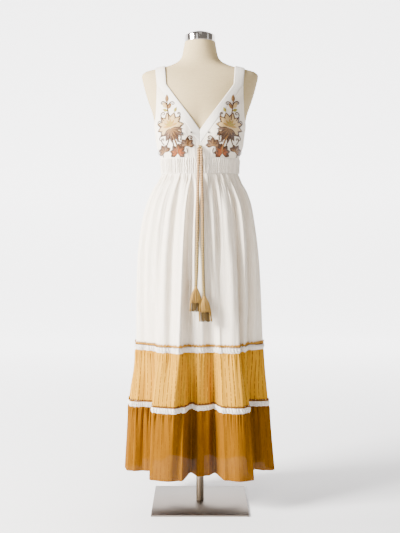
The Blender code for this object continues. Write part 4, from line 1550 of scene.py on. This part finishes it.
@dataclass
class Drawstring:
    """Two twisted cords, the knot that they leave and the tassels that end them."""

    radius: float = 0.0050
    pitch: float = 0.0078
    plies: int = 3
    stated_width: float = 0.0080
    route_points: int = 700
    ring_steps: int = 64
    ring_share: float = 0.66
    ply_share: float = 0.34
    brown_share: float = 1.12
    forward: float = 0.0008
    left_route: tuple[tuple[float, float, float], ...] = (
        (-0.0038, -0.1098, 1.1430), (-0.0050, -0.1100, 1.100), (-0.0062, -0.1110, 1.040),
        (-0.0073, -0.1150, 0.985), (-0.0078, -0.1195, 0.930), (-0.0083, -0.1232, 0.850),
        (-0.0095, -0.1262, 0.780), (-0.0128, -0.1290, 0.7070),
    )
    right_route: tuple[tuple[float, float, float], ...] = (
        (0.0038, -0.1098, 1.1430), (0.0044, -0.1102, 1.100), (0.0052, -0.1112, 1.040),
        (0.0066, -0.1152, 0.985), (0.0076, -0.1195, 0.930), (0.0085, -0.1234, 0.850),
        (0.0094, -0.1264, 0.780), (0.0106, -0.1286, 0.726), (0.0128, -0.1296, 0.6810),
    )
    knot_centre: tuple[float, float, float] = (0.0, -0.1092, 1.1485)
    windings: tuple[tuple[float, float, float], ...] = (
        (0.0010, 0.0030, 0.0021), (-0.0024, 0.0036, 0.0022), (-0.0062, 0.0034, 0.0018),
    )
    tassel_shape: tuple[tuple[float, ...], tuple[float, ...]] = (
        (0.0, 0.08, 0.16, 0.28, 0.45, 0.70, 1.0),
        (0.10, 0.24, 0.46, 0.66, 0.82, 0.94, 1.0),
    )

    def route(self, side: Side) -> tuple[tuple[float, float, float], ...]:
        """The places that one cord passes."""
        return self.left_route if side is Side.LEFT else self.right_route

    def cord(self, side: Side, looks: Finishes) -> None:
        """Args:
            side: which cord.
            looks: the finishes.
        """
        route = self.route(side)
        line = smooth_route(route, self.route_points)
        line[:, 1] -= self.forward
        length = lengths(line)
        ring = tube_points(line, self.radius * self.ring_share, self.ring_steps)
        rows = np.arange(len(line))
        parts = []
        for ply in range(self.plies):
            turn = (length / self.pitch + ply / self.plies) % 1.0 * self.ring_steps
            low = np.floor(turn).astype(int) % self.ring_steps
            share = (turn - np.floor(turn))[:, None]
            path = ring[rows, low] * (1.0 - share) + ring[rows, low + 1] * share
            brown = ply == 1
            thick = self.radius * self.ply_share * (self.brown_share if brown else 1.0)
            parts.append((tube(path, thick, 7), int(brown)))
        name = f"twisted_cord_{side.name.lower()}"
        piece = link(name, merge_meshes(name, parts), looks.cream_ply)
        piece.data.materials.append(looks.brown_ply)
        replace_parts(piece, f"cord_{side.name.lower()}")

    def tassel(self, side: Side, looks: Finishes, drop: float, ring: float, lean: float) -> bpy.types.Object:
        """Build a tassel: wound head, light outer threads and a darker inner bundle.

        Args:
            side: which tassel.
            looks: the finishes.
            drop: the length of its threads.
            ring: half its width at the bottom.
            lean: how far its tip leans to the right.

        Returns:
            The tassel.
        """
        top = np.array(self.route(side)[-1]) + np.array([0.0, -0.0015, 0.0])
        parts = []
        swing = np.linspace(0.0, 2.0 * np.pi, 37)
        for rise, wide, thick in self.windings:
            winding = [wide * np.cos(swing), 0.8 * wide * np.sin(swing), np.full(37, rise)]
            parts.append((tube(top + np.stack(winding, axis=-1), thick, 8), 0))
        dice = np.random.default_rng(51 + side.value)
        for layer, count, share, tint in ((0, 52, 1.0, 0), (1, 48, 0.62, 1)):
            for k in range(count):
                turn = 2.0 * math.pi * (k + dice.uniform(-0.45, 0.45)) / count
                way = np.array([math.cos(turn), 0.52 * math.sin(turn), 0.0])
                reach = ring * share * dice.uniform(0.80, 1.0)
                beside = layer == 1 or abs(math.cos(turn)) > 0.84
                long = drop * (1.0 if beside else 0.63) * dice.uniform(0.94, 1.0)
                s = np.linspace(0.0, 1.0, 9)[:, None]
                spread = np.interp(s * long / drop, *self.tassel_shape)
                path = top + way * (0.0026 * share + (reach - 0.0026 * share) * spread)
                path = path + np.array([lean, 0.0, -long]) * s
                path[:, 0] += 0.0009 * np.sin(s[:, 0] * 6.0 + dice.uniform(0.0, 6.0)) * s[:, 0]
                path[:, 1] += 0.0006 * np.sin(s[:, 0] * 5.0 + dice.uniform(0.0, 6.0)) * s[:, 0]
                thick = 0.00125 * (0.70 + 0.30 * np.sin(s[:, 0] * np.pi))
                tone = tint if tint else (0, 2, 0, 0, 2)[k % 5]
                parts.append((tube(path, thick, 5, flat=0.0010), tone))
        name = f"thread_tassel_{side.name.lower()}"
        piece = link(name, merge_meshes(name, parts), looks.tassel_tints[0])
        for tint in looks.tassel_tints[1:]:
            piece.data.materials.append(tint)
        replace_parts(piece, f"tassel_{side.name.lower()}")
        return piece

    def knot(self, looks: Finishes) -> None:
        """Build the small knot in which the cords leave the bodice."""
        centre = np.array(self.knot_centre)
        s = np.linspace(0.0, 2.0 * np.pi, 97)
        loop = [0.0043 * np.sin(2.0 * s), -0.0016 * np.cos(3.0 * s) * 0.8, 0.0032 * np.cos(s + 0.3)]
        mesh = merge_meshes("drawstring_knot", [(tube(centre + np.stack(loop, axis=-1), 0.0016, 8), 0)])
        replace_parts(link("drawstring_knot", mesh, looks.olive_ply), "cord_knot")

    def build(self, looks: Finishes) -> None:
        """Build cords, tassels and knot."""
        left = self.tassel(Side.LEFT, looks, 0.0745, 0.0200, -0.0010)
        right = self.tassel(Side.RIGHT, looks, 0.0795, 0.0215, 0.0040)
        self.cord(Side.LEFT, looks)
        self.cord(Side.RIGHT, looks)
        self.knot(looks)


# Embroidery


class Leaf(NamedTuple):
    """A leaf or petal in satin stitch, in millimetres from the spray's middle and degrees."""

    root: tuple[float, float]
    heading: float
    length: float
    width: float
    bend: float
    thread: Thread
    fullest: float = 0.45


class Scroll(NamedTuple):
    """A stem or tendril whose curl grows along its length, in millimetres and degrees."""

    start: tuple[float, float]
    heading: float
    length: float
    turn: float
    curl: float
    width: float
    thread: Thread


def blossom(
    root: tuple[float, float], headings: Sequence[float], length: float, width: float, thread: Thread
) -> list[Leaf]:
    """Petals that fan out from one place, the outer ones bent outwards.

    Args:
        root: the blossom's heart.
        headings: the directions of the petals.
        length: the longest petal's length.
        width: its width.
        thread: its colour.

    Returns:
        The petals.
    """
    petals = []
    middle = sum(headings) / len(headings)
    for heading in headings:
        lean = (heading - middle) / 100.0
        reach = length * (1.0 - 0.22 * abs(lean))
        petals.append(Leaf(root, heading, reach, width, 26.0 * lean, thread, 0.58))
    return petals


FAN = (-24.0, 2.0, 28.0, 52.0, 76.0, 100.0, 126.0, 156.0, 188.0)
SKIRT_HEADINGS = (-44.0, -68.0, -94.0, -120.0, -146.0, -170.0)
SKIRT_LENGTHS = (34.0, 42.0, 44.0, 46.0, 44.0, 36.0)
SMALL_BLOSSOMS = (
    ((-20.0, -82.0), 0.5, (-8.0, 26.0, 60.0, 96.0, 132.0, 168.0, 196.0), 31.0, 3.0, 12.5, Thread.RUST),
    ((20.0, -76.0), 0.0, (-10.0, 26.0, 62.0, 98.0, 134.0), 25.0, 2.5, 10.5, Thread.TAN),
    ((-48.0, -60.0), 0.0, (20.0, 56.0, 92.0, 128.0, 164.0), 28.0, 2.5, 11.0, Thread.TAN),
)


@dataclass
class Embroidery:
    """A spray of blossom, leaves and tendrils on each cup, worked in raised satin stitch."""

    bodice: Bodice
    middle: tuple[float, float] = (0.0885, 1.2120)
    dome: float = 0.0013
    bead_radius: float = 0.0030

    def leaves(self) -> list[Leaf]:
        """The spray's leaves and petals."""
        spray = []
        for height, headings, length, width, thread in (
            (-4.0, FAN, 52.0, 17.4, Thread.BROWN),
            (-3.5, FAN, 49.5, 15.2, Thread.CREAM),
            (-2.0, (12.0, 40.0, 66.0, 90.0, 116.0, 146.0), 32.0, 8.5, Thread.GOLD),
            (0.0, (38.0, 76.0, 112.0), 22.0, 6.5, Thread.OLIVE),
        ):
            spray += blossom((2.0, height), headings, length, width, thread)
        for heading, length in zip(SKIRT_HEADINGS, SKIRT_LENGTHS):
            bend = 0.12 * heading + 12.0
            spray.append(Leaf((0.0, -6.0), heading, length, 12.5, bend, Thread.BROWN))
            spray.append(Leaf((0.0, -6.0), heading, 0.95 * length, 9.5, bend, Thread.TAN))
        for root, drop, headings, length, thinner, width, thread in SMALL_BLOSSOMS:
            spray += blossom(root, headings, length, width, Thread.BROWN)
            spray += blossom((root[0], root[1] + drop), headings, length - thinner, width - 3.0, thread)
        spray.append(Leaf((15.0, 78.0), 96.0, 26.0, 9.0, -10.0, Thread.TAN))
        spray.append(Leaf((14.0, 60.0), 48.0, 24.0, 9.0, 14.0, Thread.CREAM))
        spray.append(Leaf((13.0, 56.0), 132.0, 22.0, 8.0, -16.0, Thread.TAN))
        spray.append(Leaf((12.0, 50.0), 22.0, 17.0, 7.0, 10.0, Thread.OLIVE))
        spray.append(Leaf((-10.0, 44.0), 104.0, 18.0, 7.0, 12.0, Thread.OLIVE))
        return spray

    def scrolls(self) -> list[Scroll]:
        """The spray's stems and tendrils."""
        return [
            Scroll((6.0, 20.0), 82.0, 62.0, -4.0, 10.0, 1.8, Thread.BROWN),
            Scroll((13.0, 62.0), 112.0, 46.0, 24.0, 360.0, 1.6, Thread.BROWN),
            Scroll((13.0, 70.0), 58.0, 38.0, -20.0, -350.0, 1.6, Thread.BROWN),
            Scroll((22.0, 20.0), 46.0, 50.0, 30.0, 340.0, 1.6, Thread.BROWN),
            Scroll((28.0, 2.0), 20.0, 40.0, 40.0, 330.0, 1.5, Thread.BROWN),
            Scroll((26.0, -22.0), -30.0, 34.0, -30.0, -300.0, 1.5, Thread.BROWN),
            Scroll((-22.0, 26.0), 128.0, 30.0, -30.0, -330.0, 1.5, Thread.BROWN),
            Scroll((-4.0, -26.0), -118.0, 58.0, 12.0, 22.0, 2.4, Thread.TAN),
            Scroll((-2.0, -28.0), -98.0, 56.0, -8.0, -18.0, 1.8, Thread.BROWN),
            Scroll((4.0, -28.0), -78.0, 50.0, 20.0, 10.0, 1.8, Thread.BROWN),
            Scroll((-18.0, -44.0), -160.0, 36.0, -4.0, -22.0, 1.7, Thread.BROWN),
            Scroll((-44.0, -42.0), 112.0, 40.0, 60.0, 330.0, 1.6, Thread.BROWN),
            Scroll((-28.0, -42.0), 108.0, 30.0, -20.0, -340.0, 1.5, Thread.BROWN),
            Scroll((22.0, -54.0), 46.0, 34.0, 10.0, 330.0, 1.6, Thread.BROWN),
            Scroll((32.0, -66.0), -20.0, 24.0, -30.0, -200.0, 1.4, Thread.BROWN),
            Scroll((-46.0, -66.0), -120.0, 18.0, 30.0, 60.0, 1.4, Thread.BROWN),
            Scroll((-8.0, -80.0), -70.0, 14.0, 20.0, 40.0, 1.4, Thread.BROWN),
            Scroll((26.0, -80.0), -80.0, 14.0, -20.0, -40.0, 1.4, Thread.BROWN),
        ]

    def beads(self) -> list[tuple[float, float]]:
        """The places of the dark beads."""
        return [(-34.0, -22.0), (-60.0, -19.0)]

    def lay(self, flat: np.ndarray, rise: np.ndarray | float, side: Side) -> np.ndarray:
        """Put flat places in millimetres on a cup.

        Args:
            flat: places across (away from the V) and up, in the last axis.
            rise: how far each stands off the cloth, in metres.
            side: which cup.

        Returns:
            Points in metres.
        """
        reach = self.middle[0] + flat[..., 0] / 1000.0
        height = np.maximum(self.middle[1] + flat[..., 1] / 1000.0, self.bodice.underbust + 0.0004)
        angle = angle_at(reach, height)
        push = self.bodice.gather_push(side.value * angle, height, True)
        points = lifted(torso, angle, height, CLEARANCE + CLOTH + push + rise)
        return points * np.array([side.value, 1.0, 1.0])

    def leaf_mesh(self, leaf: Leaf, level: float, side: Side) -> bpy.types.Mesh:
        """Build one leaf as a low dome.

        Args:
            leaf: the leaf.
            level: how far it lies above the cloth, so that later ones cover earlier ones.
            side: which cup.

        Returns:
            Its mesh.
        """
        t = np.linspace(0.0, 1.0, 11)
        bend = np.radians(leaf.heading + leaf.bend * t)
        step = leaf.length / 10.0
        spine = np.stack([np.cumsum(np.cos(bend)), np.cumsum(np.sin(bend))], axis=-1) * step
        spine = spine - spine[0] + np.array(leaf.root)
        growing = np.sin(t / leaf.fullest * np.pi / 2.0)
        closing = np.cos((t - leaf.fullest) / (1.0 - leaf.fullest) * np.pi / 2.0)
        swell = np.where(t < leaf.fullest, growing, np.abs(closing) ** 0.9)
        half = leaf.width * 0.66 * np.maximum(swell, 0.03)
        s = np.linspace(-1.0, 1.0, 7)
        way = np.stack([-np.sin(bend), np.cos(bend)], axis=-1)
        flat = spine[:, None, :] + way[:, None, :] * (half[:, None] * s[None, :])[..., None]
        arch = np.sqrt(np.maximum(1.0 - s**2, 0.0))[None, :]
        rise = level + self.dome * arch * (0.35 + 0.65 * swell)[:, None] - 0.0003
        points = self.lay(flat, rise, side)
        u = (half[:, None] * s[None, :]) / 1000.0
        v = np.broadcast_to(t[:, None] * leaf.length / 1000.0, u.shape)
        if side is Side.RIGHT:
            points = points[:, ::-1]
        return grid_mesh("leaf", points, np.stack([u, v], axis=-1))

    def scroll_path(self, scroll: Scroll) -> np.ndarray:
        """The flat path of a tendril."""
        t = np.linspace(0.0, 1.0, 34)
        heading = np.radians(scroll.heading + scroll.turn * t + scroll.curl * t**3)
        path = np.stack([np.cumsum(np.cos(heading)), np.cumsum(np.sin(heading))], axis=-1)
        path = path * scroll.length / 33.0
        return path - path[0] + np.array(scroll.start)

    def build(self, threads: Sequence[bpy.types.Material]) -> None:
        """Build the spray on both cups.

        Args:
            threads: the finish of each thread colour, in the order of the names.
        """
        for side in Side:
            parts = []
            for scroll in self.scrolls():
                path = self.lay(self.scroll_path(scroll), 0.0004, side)
                taper = scroll.width / 820.0 * (1.0 - 0.35 * np.linspace(0.0, 1.0, len(path)) ** 2)
                parts.append((tube(path, taper, 6, flat=0.0006), scroll.thread.value))
            for number, leaf in enumerate(self.leaves()):
                parts.append((self.leaf_mesh(leaf, 0.000012 * number, side), leaf.thread.value))
            for bead in self.beads():
                centre = self.lay(np.array(bead), 0.0016, side)
                ball = bmesh.new()
                place = Matrix.Translation(centre)
                bmesh.ops.create_uvsphere(
                    ball, u_segments=12, v_segments=8, radius=self.bead_radius, matrix=place
                )
                parts.append((kept("bead", ball), Thread.BEAD.value))
            name = f"embroidery_{side.name.lower()}"
            piece = link(name, merge_meshes(name, parts, close=False), threads[0])
            for thread in threads[1:]:
                piece.data.materials.append(thread)


# Studio


@dataclass
class Studio:
    """The pale floor, the lights and the camera."""

    camera_height: float = 0.9078
    camera_distance: float = 2.8502
    focal_pixels: float = 875.2
    frame_height_pixels: float = 533.0
    tilt_degrees: float = 0.718
    shift: float = -0.06
    room_tint: Colour = (1.0, 0.93, 0.85)
    room_light: float = 0.26

    def camera(self) -> None:
        """Set the camera at the picture's viewing angle."""
        data = bpy.data.cameras.new("picture camera")
        data.sensor_fit = "AUTO"
        data.sensor_width = 36.0
        data.lens = 36.0 * self.focal_pixels / self.frame_height_pixels
        data.shift_y = self.shift
        data.dof.use_dof = False
        item = bpy.data.objects.new("picture camera", data)
        item.location = (0.0, -self.camera_distance, self.camera_height)
        item.rotation_euler = (math.radians(90.0 - self.tilt_degrees), 0.0, 0.0)
        bpy.context.scene.collection.objects.link(item)
        bpy.context.scene.camera = item

    def floor(self) -> None:
        """Make the floor that curves up into the backdrop."""
        angle = np.linspace(0.0, np.pi / 2.0, 24)
        bend = 1.2
        depth = np.concatenate([[-6.0], 4.0 + bend * np.sin(angle), [4.0 + bend]])
        rise = np.concatenate([[0.0], bend - bend * np.cos(angle), [6.0]]) - 0.0002
        x = np.linspace(-16.0, 16.0, 9)
        points = np.stack(np.broadcast_arrays(x[None, :], depth[:, None], rise[:, None]), axis=-1)
        mesh = grid_mesh("pale_floor", points, flat_layout(points))
        mesh.materials.append(Backdrop().make())
        item = bpy.data.objects.new("pale_floor", mesh)
        bpy.context.scene.collection.objects.link(item)

    def light(
        self,
        name: str,
        place: tuple[float, float, float],
        size: tuple[float, float],
        power: float,
        tint: Colour,
    ) -> None:
        """Add a soft light that faces the dress.

        Args:
            name: the light's name.
            place: where it stands.
            size: its width and height.
            power: its power in watts.
            tint: its colour.
        """
        data = bpy.data.lights.new(name, "AREA")
        data.shape = "RECTANGLE"
        data.size = size[0]
        data.size_y = size[1]
        data.energy = power
        data.color = tint
        item = bpy.data.objects.new(name, data)
        item.location = place
        toward = Vector((0.0, 0.0, min(place[2], 0.75))) - Vector(place)
        item.rotation_euler = toward.to_track_quat("-Z", "Y").to_euler()
        bpy.context.scene.collection.objects.link(item)

    def build(self) -> None:
        """Set up the whole studio."""
        self.camera()
        self.floor()
        world = bpy.data.worlds.new("soft studio")
        world.use_nodes = True
        values = world.node_tree.nodes["Background"].inputs
        values["Color"].default_value = (*self.room_tint, 1.0)
        values["Strength"].default_value = self.room_light
        bpy.context.scene.world = world
        self.light("key", (-3.0, -1.5, 2.2), (1.4, 1.4), 930.0, (1.0, 0.98, 0.95))
        self.light("bodice", (0.2, -2.6, 2.9), (1.2, 1.2), 36.0, (1.0, 0.97, 0.93))
        self.light("left strip", (-1.3, -3.2, 0.75), (0.5, 3.0), 14.0, (1.0, 1.0, 1.0))
        self.light("right strip", (3.0, -1.6, 0.75), (0.7, 3.0), 8.0, (1.0, 1.0, 1.0))


def main() -> None:
    """Build the studio and every piece of the dress and its stand."""
    logging.basicConfig(level=logging.INFO, format="%(name)s: %(message)s")
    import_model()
    Studio().build()
    looks = Finishes()
    Drawstring().build(looks)
    Stand().build(looks)
    DressForm().build(looks)
    bodice = Bodice()
    bodice.build(looks)
    Embroidery(bodice).build(looks.threads)
    Waistband().build(looks)
    Skirt().build(looks)


if __name__ == "__main__":
    main()
